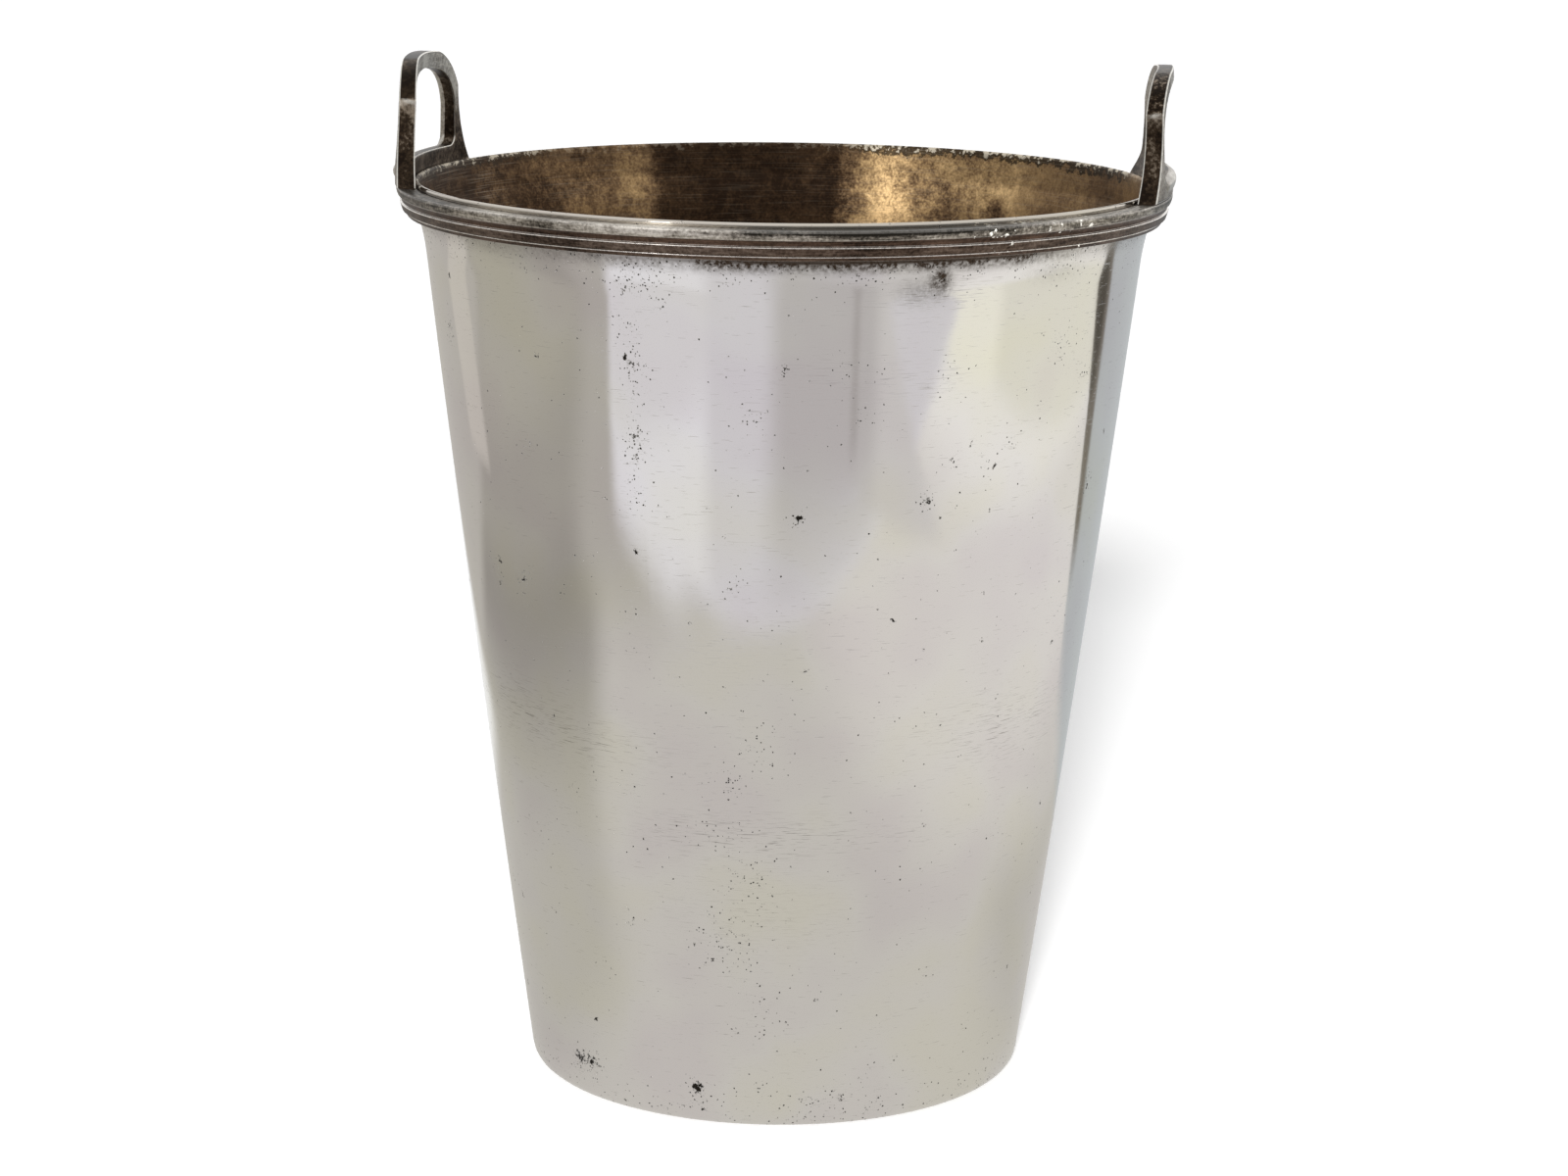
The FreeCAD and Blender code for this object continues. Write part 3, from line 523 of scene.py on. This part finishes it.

# round the wall: first and last angle in degrees (0 to 400 is all round), softness in degrees, strength
# the soot and the painted shade below the moulding: how strong they are round the wall
angleBands = {"sootAndShadeLevel": [(246, 318, 16, 0.3), (264, 320, 14, 0.42), (60, 150, 40, 0.5), (0, 400, 1, 0.3)],
              # the lip's black edge, and the strength of the pale worn metal with its painted highlight above it
              "lipBlackAndHighlight": [(20, 84, 6, 0.85), (140, 200, 12, 0.7), (0, 400, 1, 0.15)],
              # the golden bands: worn brass, and a painted highlight at 75 to 83 degrees
              "giltAndHighlight": [(118.5, 137, 3.5, 0.15), (75, 83, 6, 0.62), (49, 76, 7, 0.4), (8, 50, 10, 0.22),
                       (205, 235, 12, 0.35)],
              "smooth": [(118.5, 150, 3.5, 0.4), (86, 118, 4, 0.6), (0, 52, 10, 0.8), (150, 200, 14, 0.7)],
              "dimmed": [(86, 118.5, 2, 0.75), (137, 200, 4, 0.2), (240, 300, 16, 0.4)],
              "combed": [(150, 186, 12, 1)]}
fadeStart, fadeReach = 115, 60  # mm: below what the photo shows, the bands round the wall fade out


def paintMarks(mesh, innerMetal):
    # marks outside, worn gilding inside, and the brass on the faces that look inwards
    fields = {label: [0.0] * len(mesh.vertices) for label in ("marks", "rubbed", "stained", *angleBands)}
    pits = [(at, level, reach, reach, strength) for at, level, reach, strength in pitClusters]
    for i, vertex in enumerate(mesh.vertices):
        x, y, z = vertex.co / mm
        radius = math.hypot(x, y)
        angle = math.degrees(math.atan2(y, x)) % 360
        for label, places in (("marks", pits), ("rubbed", rubbedBands), ("stained", stains)):
            for at, level, halfLength, halfHeight, strength in places:
                if abs(z - level) < 2.2 * halfHeight:
                    across = math.radians(degreesApart(angle, at)) * radius / halfLength
                    away = math.hypot(across, (z - level) / halfHeight)
                    if away < 2.2:
                        fields[label][i] += strength * math.exp(-away * away)
        shown = min(max((z - fadeStart) / fadeReach, 0.0), 1.0)
        for label, bands in angleBands.items():
            for start, end, soft, strength in bands:
                inside = (end - start) / 2 - abs(degreesApart(angle, (start + end) / 2))
                fields[label][i] += shown * strength * min(max(inside / soft + 0.5, 0.0), 1.0)
        at, level, reach, strength = darkSpot
        away = math.hypot(math.radians(degreesApart(angle, at)) * radius, z - level) / reach
        fields["dimmed"][i] += strength * math.exp(-away ** 4) if away < 2 else 0.0
    storeFields(mesh, fields)
    mesh.materials.append(innerMetal)
    for face in mesh.polygons:
        middle = face.center
        inward = face.normal.x * middle.x + face.normal.y * middle.y
        if inward < -0.2 * math.hypot(middle.x, middle.y) or (face.normal.z > 0.5 and middle.z < 0.2):
            face.material_index = 1


# Base pan: raised floor, standing ring and the rounded corner that runs up to the wall

pan = {"jointHeight": 8.4, "topRadius": 66.231, "footRadius": 65.08, "ringRadius": 49.98, "panelSlope": 5.0,
       "panelRise": 2.4, "thickness": 1.2, "footSlant": 0.137}


def panCorners(p):
    t = p["thickness"]
    panelRadius = p["ringRadius"] - p["panelSlope"]
    footInner = p["footRadius"] - t + t * p["footSlant"]
    return [
        corner(0.0, p["panelRise"], edge=0.0, steps=14),
        corner(panelRadius, p["panelRise"], edge=1.0, steps=2),
        corner(p["ringRadius"], 0.0, edge=1.0, steps=4),
        corner(p["footRadius"], 0.0, worn=0.3, edge=6.6),
        corner(p["topRadius"], p["jointHeight"], edge=0.0),
        corner(p["topRadius"] - t, p["jointHeight"], edge=0.0),
        corner(footInner, t, edge=5.5, steps=4),
        corner(p["ringRadius"], t, edge=1.0, steps=2),
        corner(panelRadius, p["panelRise"] + t, edge=1.0, steps=14),
        corner(0.0, p["panelRise"] + t, edge=0.0)]


basePan = turnedPiece("raised_base_pan", panCorners(pan), plate, segments=320)
baseSeam = turnedPiece("base_seam_solder", [corner(radius, height, edge=0.0) for radius, height in (
    (pan["topRadius"], pan["jointHeight"]), (wall["footRadius"], wall["footHeight"]),
    (wall["footRadius"] - wall["thickness"], wall["footHeight"]),
    (pan["topRadius"] - pan["thickness"], pan["jointHeight"]))], plate, segments=320)
for piece in (bucketWall, wallSeam, basePan, baseSeam):
    paintMarks(piece.data, brass)

# Moulding round the lip: band, cove and two reeds, closed by one brazed joint

moulding = {"inner": 95.9, "top": 234.7, "bottom": 227.25, "band": 100.39, "bandRound": 0.4, "bandHeight": 2.3,
            "bandTaper": 0.5, "bandCrown": 0.12, "coveHeight": 1.5, "coveDepth": 0.9, "coveHollow": 0.22,
            "reedStand": 0.5, "reedEdge": 0.3, "reedHeight": 2.3, "reedTaper": 0.65, "step": 0.85,
            "lowerStand": 0.25, "lowerEdge": 0.35, "lowerTaper": 0.6, "slope": 0.125}
mouldingBraze = {"angle": 308.5, "width": 0.5, "radius": 98.0}


def mouldingCorners(m):
    bandFoot = m["band"] - m["bandTaper"]
    bandFootHeight = m["top"] - m["bandHeight"]
    cove = bandFoot - m["coveDepth"]
    coveFoot = bandFootHeight - m["coveHeight"]
    reed = cove + m["reedStand"]
    reedFoot = reed - m["reedTaper"]
    reedFootHeight = coveFoot - m["reedHeight"]
    step = reedFoot - m["step"]
    lower = step + m["lowerStand"]
    return [
        corner(m["inner"] - (m["top"] - m["bottom"]) * m["slope"], m["bottom"], tone=0.9),
        corner(lower - m["lowerTaper"], m["bottom"], worn=0.5, tone=0.95, steps=3),
        corner(lower, reedFootHeight - m["lowerEdge"], worn=1.0, edge=0.2, tone=0.2, sideWearAndGlint=1.0, steps=2),
        corner(step, reedFootHeight, edge=0.08, tone=1.0, steps=2),
        corner(reedFoot, reedFootHeight, tone=0.86, steps=4),
        corner(reed, reedFootHeight + m["reedHeight"] - m["reedEdge"], worn=1.0, edge=0.2, tone=0.4, sideWearAndGlint=0.9, steps=2),
        corner(cove, coveFoot, edge=0.08, tone=1.0, steps=5, swell=-m["coveHollow"]),
        corner(bandFoot, bandFootHeight, worn=0.45, edge=0.2, steps=5, swell=m["bandCrown"]),
        corner(m["band"], m["top"] - m["bandRound"], worn=0.2, edge=0.3, sideWearAndGlint=0.15, steps=2, swell=0.12),
        corner(m["band"] - m["bandRound"], m["top"], worn=0.25, edge=0.2, steps=4),
        corner(m["inner"], m["top"], tone=1.0, steps=2)]


rimMoulding, mouldingJoint = jointedPair(("rim_moulding_ring", "rim_moulding_braze"), mouldingCorners(moulding),
                                         mouldingMetal, mouldingBraze, 1, sharp=38)

# middle angle and half width in degrees, strength: tarnish on the band, and pale crusts left by old polish
tarnishedArcs = [(284, 17, 1.3), (303, 9, 0.4), (219, 7, 0.4), (204, 6, 0.2), (70, 20, 0.6),
                 (118, 14, 0.7), (160, 10, 0.5), (350, 10, 0.5), (20, 12, 0.4)]
polishedArcs = [(243, 13, 0.5), (275, 22, 0.7), (95, 12, 0.5), (180, 16, 0.5), (318, 8, 0.3)]
crustedArcs = [(315.5, 10, 0.75), (305.2, 1.2, 0.9), (88, 6, 0.3)]


def paintMoulding(mesh):
    # each field: its arcs, then its level on the moulding's top, on the lower half of the band and on the reeds
    fields = {"dulled": (tarnishedArcs, 1.0, 0.15, 0.25), "polished": (polishedArcs, 1.0, 0.9, 0.2),
              "flecked": (crustedArcs, 1.0, 1.0, 0.25)}
    for label, (arcs, onTop, onBand, onReeds) in fields.items():
        values = []
        for vertex in mesh.vertices:
            angle = math.degrees(math.atan2(vertex.co.y, vertex.co.x))
            height = vertex.co.z / mm
            upper = min(max((height - 233.3) / 0.6, 0.0), 1.0)
            level = onReeds if height < 232.0 else onBand + (onTop - onBand) * upper
            values.append(level * sum(s * math.exp(-(degreesApart(angle, at) / half) ** 4) for at, half, s in arcs))
        storeFields(mesh, {label: values})


for piece in (rimMoulding, mouldingJoint):
    paintMoulding(piece.data)
solderRing = {"footRadius": 94.765, "foot": 227.25, "topRadius": 95.66, "top": 234.4, "width": 0.2}
rimSolder = turnedPiece("rim_solder_ring", [
    corner(solderRing[place + "Radius"] + out * solderRing["width"], solderRing[place], edge=0.0)
    for place, out in (("foot", 0), ("foot", 1), ("top", 1), ("top", 0))], darkSolder)

# Handles: a casting whose end, crown and opening follow two outlines, lofted round the bar and bent to the rim

handle = {"footHeight": 234.95, "lip": 236.0, "rise": 30.7, "lean": 1.7, "inner": 96.15, "thickness": 4.65,
          "thinning": 0.55, "setBack": 2.15, "edge": 0.38, "openingOuter": 1.7, "openingInner": 0.3,
          # half spans, and how far below the crown or the opening's top: outline, then opening
          "footSpan": 34.1, "breakSpan": 25.8, "breakDrop": 10.4, "shoulderSpan": 13.2, "shoulderDrop": 0.7,
          "openingDrop": 4.2, "openingSpan": 25.2, "springSpan": 24.2, "springDrop": 11.5, "haunchSpan": 14.0,
          "haunchDrop": 1.5, "floorRise": 4.3, "cornerRound": 2.4,
          # the end's two facets, with their tarnish by side
          "breakRise": 20.3, "facetRise": 29.4, "upperTone": {-1: 1.15, 1: 1.05}, "upperGrain": {-1: 0.0, 1: 1.0},
          "lowerTone": 0.45, "footTone": 1.1, "fade": 6.0, "lowerGrain": 0.25, "crease": 0.55, "creaseHalf": 0.45,
          # tarnish on the inner face, which darkens downwards, in the opening and on the outer face
          "faceTone": 0.22, "faceDarkening": 0.6, "faceFade": 14.0, "openTone": 1.0, "backTone": 0.4,
          # the half-round bead along the outside of the base bar
          "beadLevel": 2.2, "beadHalf": 1.5, "beadStand": 0.5, "beadReach": 21.9, "beadEnd": 2.4,
          # how far use has bent the back half out, by side, and over what height
          "bend": {-1: 0.0, 1: 2.1}, "bendRise": 9.0}


def chordArc(start, end, swell, steps):
    # points from start towards end on an arc that swells to the right; the end itself isn't included
    return [sidePoint(Vector(start), Vector(end), swell, k / steps) for k in range(steps)]


def alongOutline(points, steps):
    # points at even distances; the end itself isn't included
    lengths = [0.0]
    for a, b in zip(points, points[1:]):
        lengths.append(lengths[-1] + (b - a).length)
    spaced, i = [], 1
    for k in range(steps):
        distance = lengths[-1] * k / steps
        while distance > lengths[i]:
            i += 1
        spaced.append(points[i - 1].lerp(points[i], (distance - lengths[i - 1]) / (lengths[i] - lengths[i - 1])))
    return spaced


def halfOutlines(h):
    # right half of the casting's outline and of its opening, from the foot's middle up to the crown, counter-clockwise
    crown = h["lip"] + h["rise"]
    foot, breakPoint = (h["footSpan"], h["footHeight"]), (h["breakSpan"], crown - h["breakDrop"])
    shoulder = (h["shoulderSpan"], crown - h["shoulderDrop"])
    outer = [
        [Vector((0.0, h["footHeight"])), Vector(foot)],
        chordArc(foot, breakPoint, -1.5, 20) + [Vector(breakPoint)],
        chordArc(breakPoint, shoulder, 1.75, 16) + [Vector(shoulder)],
        chordArc(shoulder, (-shoulder[0], shoulder[1]), 0.7, 24)[:13]]
    openingTop = crown - h["openingDrop"]
    spring = (h["springSpan"], openingTop - h["springDrop"])
    haunch = (h["haunchSpan"], openingTop - h["haunchDrop"])
    floorLevel, bend = h["lip"] + h["floorRise"], h["cornerRound"]
    centre = Vector((h["openingSpan"] - bend, floorLevel + bend))
    cornerArc = [centre + bend * Vector((math.sin(a), -math.cos(a))) for a in (math.pi / 2 * k / 8 for k in range(9))]
    inner = [
        [Vector((0.0, floorLevel))] + cornerArc[:5],
        cornerArc[4:] + [Vector(spring)],
        chordArc(spring, haunch, 2.1, 16) + [Vector(haunch)],
        chordArc(haunch, (-haunch[0], haunch[1]), 1.5, 24)[:13]]
    return outer, inner


def pairedRings(h):
    # the same number of points round both outlines, paired part by part
    outer, inner = halfOutlines(h)
    right = []
    for outerPart, innerPart, count in zip(outer, inner, (34, 30, 20, 14)):
        right += zip(alongOutline(outerPart, count), alongOutline(innerPart, count))
    right.append((outer[-1][-1].copy(), inner[-1][-1].copy()))
    left = [(Vector((-a.x, a.y)), Vector((-b.x, b.y))) for a, b in right[-2:0:-1]]
    return right + left


def ringNormals(points):
    # normals that point to the right of the way round, averaged at each point
    normals = []
    for before, here, after in zip(points[-1:] + points, points, points[1:] + points[:1]):
        along = ((here - before).normalized() + (after - here).normalized()).normalized()
        normals.append(Vector((along.y, -along.x)))
    return normals


def beadSwell(h, place):
    # how far the half-round bead along the outside of the base bar stands out at a place of the outline's plane
    across = (place.y - h["lip"] - h["beadLevel"]) / h["beadHalf"]
    beyond = max(abs(place.x) - h["beadReach"], 0.0) / h["beadEnd"]
    return max(1 - across * across - beyond * beyond, 0.0) ** 0.6 * h["beadStand"]


def arris(base, inwards, depthAt, depthSign, radius, steps, worn, tones, fromFace):
    # a rounded edge, bright in its middle from wear and a painted highlight; fromFace: it starts on a face and ends on
    # the end or in the opening
    arc = []
    for k in range(steps + 1):
        share, a = k / steps, math.pi / 2 * k / steps
        if fromFace:
            a = math.pi / 2 - a
        arc.append((base - inwards * radius * (1 - math.cos(a)), depthAt + depthSign * radius * (1 - math.sin(a)),
                    worn * math.sin(math.pi * share), tones[0] * (1 - share) + tones[1] * share))
    return arc


def barSection(h, side, outerPoint, innerPoint, outwards, intoOpening):
    # the way round the bar, each point as (place in the outline's plane, depth from the inner face, wear with its
    # painted highlight, tone); with it come the bar's thickness, how many points lie on the end if that is creased
    # there, and the grain
    width = (outerPoint - innerPoint).length
    edge = min(h["edge"], 0.2 * width)
    outerRound, innerRound = min(h["openingOuter"], 0.62 * width), min(h["openingInner"], 0.2 * width)
    rise = outerPoint.y - (h["lip"] + h["breakRise"])  # above or below the crease between the end's two facets
    faceTone = h["faceTone"] + h["faceDarkening"] * min(max(-rise / h["faceFade"], 0), 1)
    openTone, backTone = h["openTone"], h["backTone"]
    endTone = h["lowerTone"] + (h["footTone"] - h["lowerTone"]) * min(-rise / h["fade"], 1)
    if rise > 0:
        endTone = h["upperTone"][side] if rise <= h["facetRise"] else backTone
    crease = h["crease"] if abs(rise) < h["creaseHalf"] else 0.0
    t = h["thickness"] - h["thinning"] * (1 - min(abs(outerPoint.x) / h["footSpan"], 1) ** 2)

    # end face from the outer to the inner one, inner face, opening, and the outer face back to the start
    section = arris(outerPoint, outwards, t, -1, edge, 4, 1.0, (endTone, endTone), True)
    section.append((outerPoint, t * 0.5, crease, endTone))
    section += arris(outerPoint, outwards, 0, 1, edge, 4, 1.0, (endTone, endTone), False)
    creased = len(section) if crease else 0
    start, end = section[-1][0] - outwards * 0.12, innerPoint + intoOpening * innerRound
    section += [(start.lerp(end, k / 6), 0.0, 0.0, faceTone) for k in range(6)]
    section += arris(innerPoint, -intoOpening, 0, 1, innerRound, 3, 1.0, (faceTone, openTone), True)
    section.append((innerPoint, t - outerRound - 0.15, 0.0, openTone))
    section += arris(innerPoint, -intoOpening, t, -1, outerRound, 7, 0.3, (0.35, backTone), False)
    start, end = section[-1][0], section[0][0]
    section += [(start.lerp(end, k / 14), t, 0.0, backTone) for k in range(1, 14)]
    return section, t, creased, h["upperGrain"][side] if rise > 0 else h["lowerGrain"]


def castHandle(name, side, h):
    # sections round the bar, lofted along the two outlines, then leant, bent to the rim and turned to their side
    pairs = pairedRings(h)
    outerRing, innerRing = [p[0] for p in pairs], [p[1] for p in pairs]
    turn = Matrix.Rotation(math.radians(-h["setBack"]), 3, "Z")
    slope = h["lean"] / h["rise"]
    mesh = bmesh.new()
    layers = [mesh.verts.layers.float.new(label) for label in ("worn", "tone", "crease", "grain")]
    rings = []
    for here in zip(outerRing, innerRing, ringNormals(outerRing), ringNormals(innerRing)):
        section, t, creased, grain = barSection(h, side, *here)
        rings.append([])
        for k, (place, depth, worn, tone) in enumerate(section):
            if depth > t / 2:
                swell = beadSwell(h, place)
                # the bead's crest is brightened with its wear and a painted highlight
                depth, worn = depth + swell, max(worn, 0.5 * swell / h["beadStand"])
            rising = min(max((place.y - h["lip"] + 2) / h["bendRise"], 0.0), 1.0)
            bent = h["bend"][side] * rising * rising * (3 - 2 * rising) * (0.5 + 0.5 * place.x / h["footSpan"])
            radius = h["inner"] - (place.y - h["lip"]) * slope + depth + bent
            across = min(abs(place.x), radius - 0.01)
            point = turn @ Vector((-math.sqrt(radius * radius - across * across), place.x, place.y))
            vertex = mesh.verts.new(Vector((-side * point.x, point.y, point.z)) * mm)
            for layer, value in zip(layers, (worn, tone, 1.0 if k < creased else 0.0, grain)):
                vertex[layer] = value
            rings[-1].append(vertex)
    for ring, following in zip(rings, rings[1:] + rings[:1]):
        for k in range(len(ring)):
            n = (k + 1) % len(ring)
            mesh.faces.new((ring[k], ring[n], following[n], following[k]))
    bmesh.ops.remove_doubles(mesh, verts=mesh.verts, dist=2e-6)
    bmesh.ops.recalc_face_normals(mesh, faces=mesh.faces)
    data = bpy.data.meshes.new(name)
    mesh.to_mesh(data)
    mesh.free()
    data.materials.append(castMetal)
    return placed(name, data)


handles = []
for label, side in (("left", -1), ("right", 1)):
    casting = castHandle("handle_casting_" + label, side, handle)
    mesh = casting.data
    softenShading(mesh, 26)
    creases = [item.value for item in mesh.attributes["crease"].data]
    sharpEdges = mesh.attributes["sharp_edge"].data
    for line in mesh.edges:
        if min(creases[line.vertices[0]], creases[line.vertices[1]]) > 0.9:
            sharpEdges[line.index].value = True
    mesh.attributes.remove(mesh.attributes["crease"])
    handles.append(casting)
    print(casting.name, "cast:", len(mesh.polygons), "faces")

# What stands for which node

for piece, node, slot in ((bucketWall, "body_wall", "wall_plate"), (wallSeam, "side_seam", "soft_solder"),
                          (basePan, "base_pan", "wall_plate"), (baseSeam, "base_seam", "soft_solder"),
                          (rimMoulding, "rim_moulding", "rim_plate"),
                          (mouldingJoint, "rim_moulding_joint", "soft_solder"),
                          (rimSolder, "rim_solder", "soft_solder"), (handles[0], "handle_left", "handle_plate"),
                          (handles[1], "handle_right", "handle_plate")):
    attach(piece, "root")
    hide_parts(node)
for node in ("handle_solder_left", "handle_solder_right"):
    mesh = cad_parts[node].data
    mesh.materials.clear()
    mesh.materials.append(darkSolder)

# Stage: a pale floor that stays white to the camera. What the metal mirrors is painted on it for glossy rays only: a
# painted reflection of a room, with painted shade round the bucket, painted window light on the floor beyond it, and
# darker corners.

photoTurn = 5.1  # degrees that the bucket is turned on the photo's floor
stage = {"floorColour": "EDEDED", "whiteGlow": 0.31, "reach": 12.0}
# name: colour, then edges as (direction in degrees, distance in mm, softness in mm): beyond all edges is inside
paintedRoomReflection = [
    ("farFloor", "E0DEDA", [(-90, 320, 320)]),
    ("nearRightShade", "C9C6C1", [(90, -15, 80), (180, -190, 80)]),
    ("leftNearShade", "C6C3BD", [(140, 30, 90)]),
    ("leftShade", "9F9B95", [(180, 290, 240)]),
    ("leftFar", "AEAAA3", [(180, 430, 120)]),
    ("leftCorner", "BAB6AD", [(180, 600, 160), (-90, -330, 160)]),
    ("nearHalo", "D6D3CE", [(-55, -48, 80), (-95, 100, 60)]),
    ("patchHalo", "BFBBB5", [(-49, -175, 120), (-95, 160, 120), (-135, 360, 120)]),
    ("frontRight", "E9E6E1", [(-25, 215, 150)]),
    ("rightLight", "EDEAE8", [(0, 340, 330)]),
    ("rightFar", "FDFBF8", [(-20, 490, 120)]),
    ("rightYellow", "F1EFE3", [(-8, 600, 60)]),
    ("rightGlow", "FFFDF1", [(-27, 600, 60), (-105, 60, 80)]),
    ("windowPatch", "F4F3F8", [(-95, 353, 30), (-49, -52, 44)]),
    ("patchLeft", "F4F3F8", [(-103, 345, 60), (-49, -52, 44), (180, 190, 80)]),
    ("patchFar", "E8E6E9", [(-135, 525, 70), (-49, -52, 44)]),
    ("patchSide", "E3E1E5", [(-95, 354, 40), (-22, -10, 60)]),
    ("rightShade", "DCD9D8", [(-44, 430, 30), (-22, 40, 60), (180, -350, 40)]),
    ("centreShade", "CAC7C6", [(-95, 395, 150), (-2, -10, 90), (-153, -20, 60)]),
    ("centreStreak", "B7B3B1", [(-95, 445, 40), (22, -8, 20), (-158, -12, 20)]),
    ("behindRight", "C2C6C8", [(116.4, 55, 14), (0, 90, 60), (90, 225, 80)]),
    ("darkEdge", "827C73", [(116.4, 55, 12), (-54, -5, 30), (0, 420, 100)]),
    ("darkEdgeFar", "5A564E", [(103.7, 212, 12), (-54, 30, 50), (0, 640, 80)]),
    ("behindLeft", "C2BEB8", [(180, 120, 80), (90, 330, 90)]),
    ("beigeStrip", "D2CDC5", [(180, 545, 30), (54, -115, 12), (217.4, 174, 20)]),
    ("behindGlow", "F4F4F4", [(180, 60, 60), (0, -230, 60), (90, 250, 120)]),
]


def paleFloor():
    mesh = bpy.data.meshes.new("pale_floor")
    r = stage["reach"]
    mesh.from_pydata([(-r, -r, 0), (r, -r, 0), (r, r, 0), (-r, r, 0)], [], [(0, 1, 2, 3)])
    floor = placed("pale_floor", mesh)
    paper, add = newMaterial("matt_paper_floor")
    spot = add("Mapping", add("TexCoord").outputs["Object"], {"Rotation": (0, 0, math.radians(-photoTurn)),
                                                      "Scale": (1000, 1000, 1000)})
    tone = add("RGB")
    tone.outputs[0].default_value = linear("D8D5D0")
    for name, colour, edges in paintedRoomReflection:
        inside = None
        for direction, distance, softness in edges:
            a = math.radians(direction)
            along = add("VectorMath", "DOT_PRODUCT", spot, (math.cos(a), math.sin(a), 0))
            beyond = add("MapRange", along.outputs["Value"], distance - softness / 2, distance + softness / 2,
                         interpolation_type="SMOOTHSTEP")
            inside = beyond if inside is None else add("Math", "MULTIPLY", inside, beyond)
        tone = add("MixRGB", inside, tone, linear(colour), label=name)
    path = add("LightPath").outputs
    # glossy rays see the painted room reflection in place of the floor's own white
    mirrored = add("Emission", tone, 1.0)
    lit = add("BsdfDiffuse", linear(stage["floorColour"]))
    glow = add("Emission", (1, 1, 1, 1), add("Math", "MULTIPLY", path["Is Camera Ray"], stage["whiteGlow"]))
    seen = add("AddShader", lit, glow)
    add("OutputMaterial", add("MixShader", path["Is Glossy Ray"], seen, mirrored))
    mesh.materials.append(paper)
    return floor


paleFloor()

world = bpy.data.worlds.new("studio_air")
bpy.context.scene.world = world
world.use_nodes = True
world.node_tree.nodes.clear()
add = partial(addNode, world.node_tree)
path = add("LightPath").outputs
whiteSeen = add("Math", "MAXIMUM", path["Is Camera Ray"], path["Is Transmission Ray"])
sight = add("TexCoord").outputs["Generated"]
upwards = add("SeparateXYZ", sight).outputs[2]
turnedAway = math.radians(60 + photoTurn)  # the bright side of the room lies behind the bucket and to the right
farSide = add("VectorMath", "DOT_PRODUCT", sight, (math.cos(turnedAway), math.sin(turnedAway), 0)).outputs["Value"]
lowLight = add("MapRange", farSide, 0.1, 0.8, 0.5, 1.15)
ceiling = add("MapRange", upwards, 0.05, 0.6, lowLight, 0.95)
shownStrength = add("Math", "MAXIMUM", whiteSeen, ceiling)
diffuseStrength = add("MapRange", path["Is Diffuse Ray"], 0, 1, 1.0, 0.42)
add("OutputWorld", add("Background", (1, 1, 1, 1), add("Math", "MULTIPLY", shownStrength, diffuseStrength)))


def addLamp(name, kind, energy, direction, place=(0, 0, 0)):
    lamp = placed(name, bpy.data.lights.new(name, kind))
    lamp.data.energy = energy
    lamp.location = place
    lamp.rotation_euler = Vector(direction).to_track_quat("-Z", "Y").to_euler()
    return lamp


windowPlace = Vector((-1.45, -2.3, 0.95))
window = addLamp("window_left_of_camera", "AREA", 4.9, Vector((0, 0, 0.2)) - windowPlace, windowPlace)
window.data.shape = "RECTANGLE"
window.data.size, window.data.size_y = 0.32, 0.9
travel, drop = math.radians(85.0 + photoTurn), math.radians(20)
key = addLamp("low_key_for_the_shadow", "SUN", 4.3,
              (math.cos(travel) * math.cos(drop), math.sin(travel) * math.cos(drop), -math.sin(drop)))
key.data.angle = math.radians(5)
key.visible_glossy = False  # it only lays the shadow behind the bucket

# Camera, fitted to the rim, the sides and the base of the photographed bucket (its own frame, then turned)

view = {"place": (0.0, -1003.9, 345.8), "pitch": -12.27, "yaw": 0.064, "roll": 0.681, "focal": 3951.0, "width": 1600}
yaw, pitch, roll = (math.radians(view[k]) for k in ("yaw", "pitch", "roll"))
forward = Vector((math.sin(yaw) * math.cos(pitch), math.cos(yaw) * math.cos(pitch), math.sin(pitch)))
level = Vector((math.cos(yaw), -math.sin(yaw), 0))
upright = level.cross(forward)
right = math.cos(roll) * level + math.sin(roll) * upright
above = -math.sin(roll) * level + math.cos(roll) * upright
lens = bpy.data.cameras.new("photo_camera")
lens.sensor_width = 36.0  # mm
lens.lens = lens.sensor_width * view["focal"] / view["width"]
lens.clip_end = 100.0
camera = placed("photo_camera", lens)
camera.matrix_world = Matrix.Rotation(math.radians(photoTurn), 4, "Z") @ (
    Matrix.Translation(Vector(view["place"]) * mm) @ Matrix((right, above, -forward)).transposed().to_4x4())
bpy.context.scene.camera = camera
bpy.context.scene.view_settings.view_transform = "Standard"

bpy.context.view_layer.update()
print("stage, lamps and camera ready")
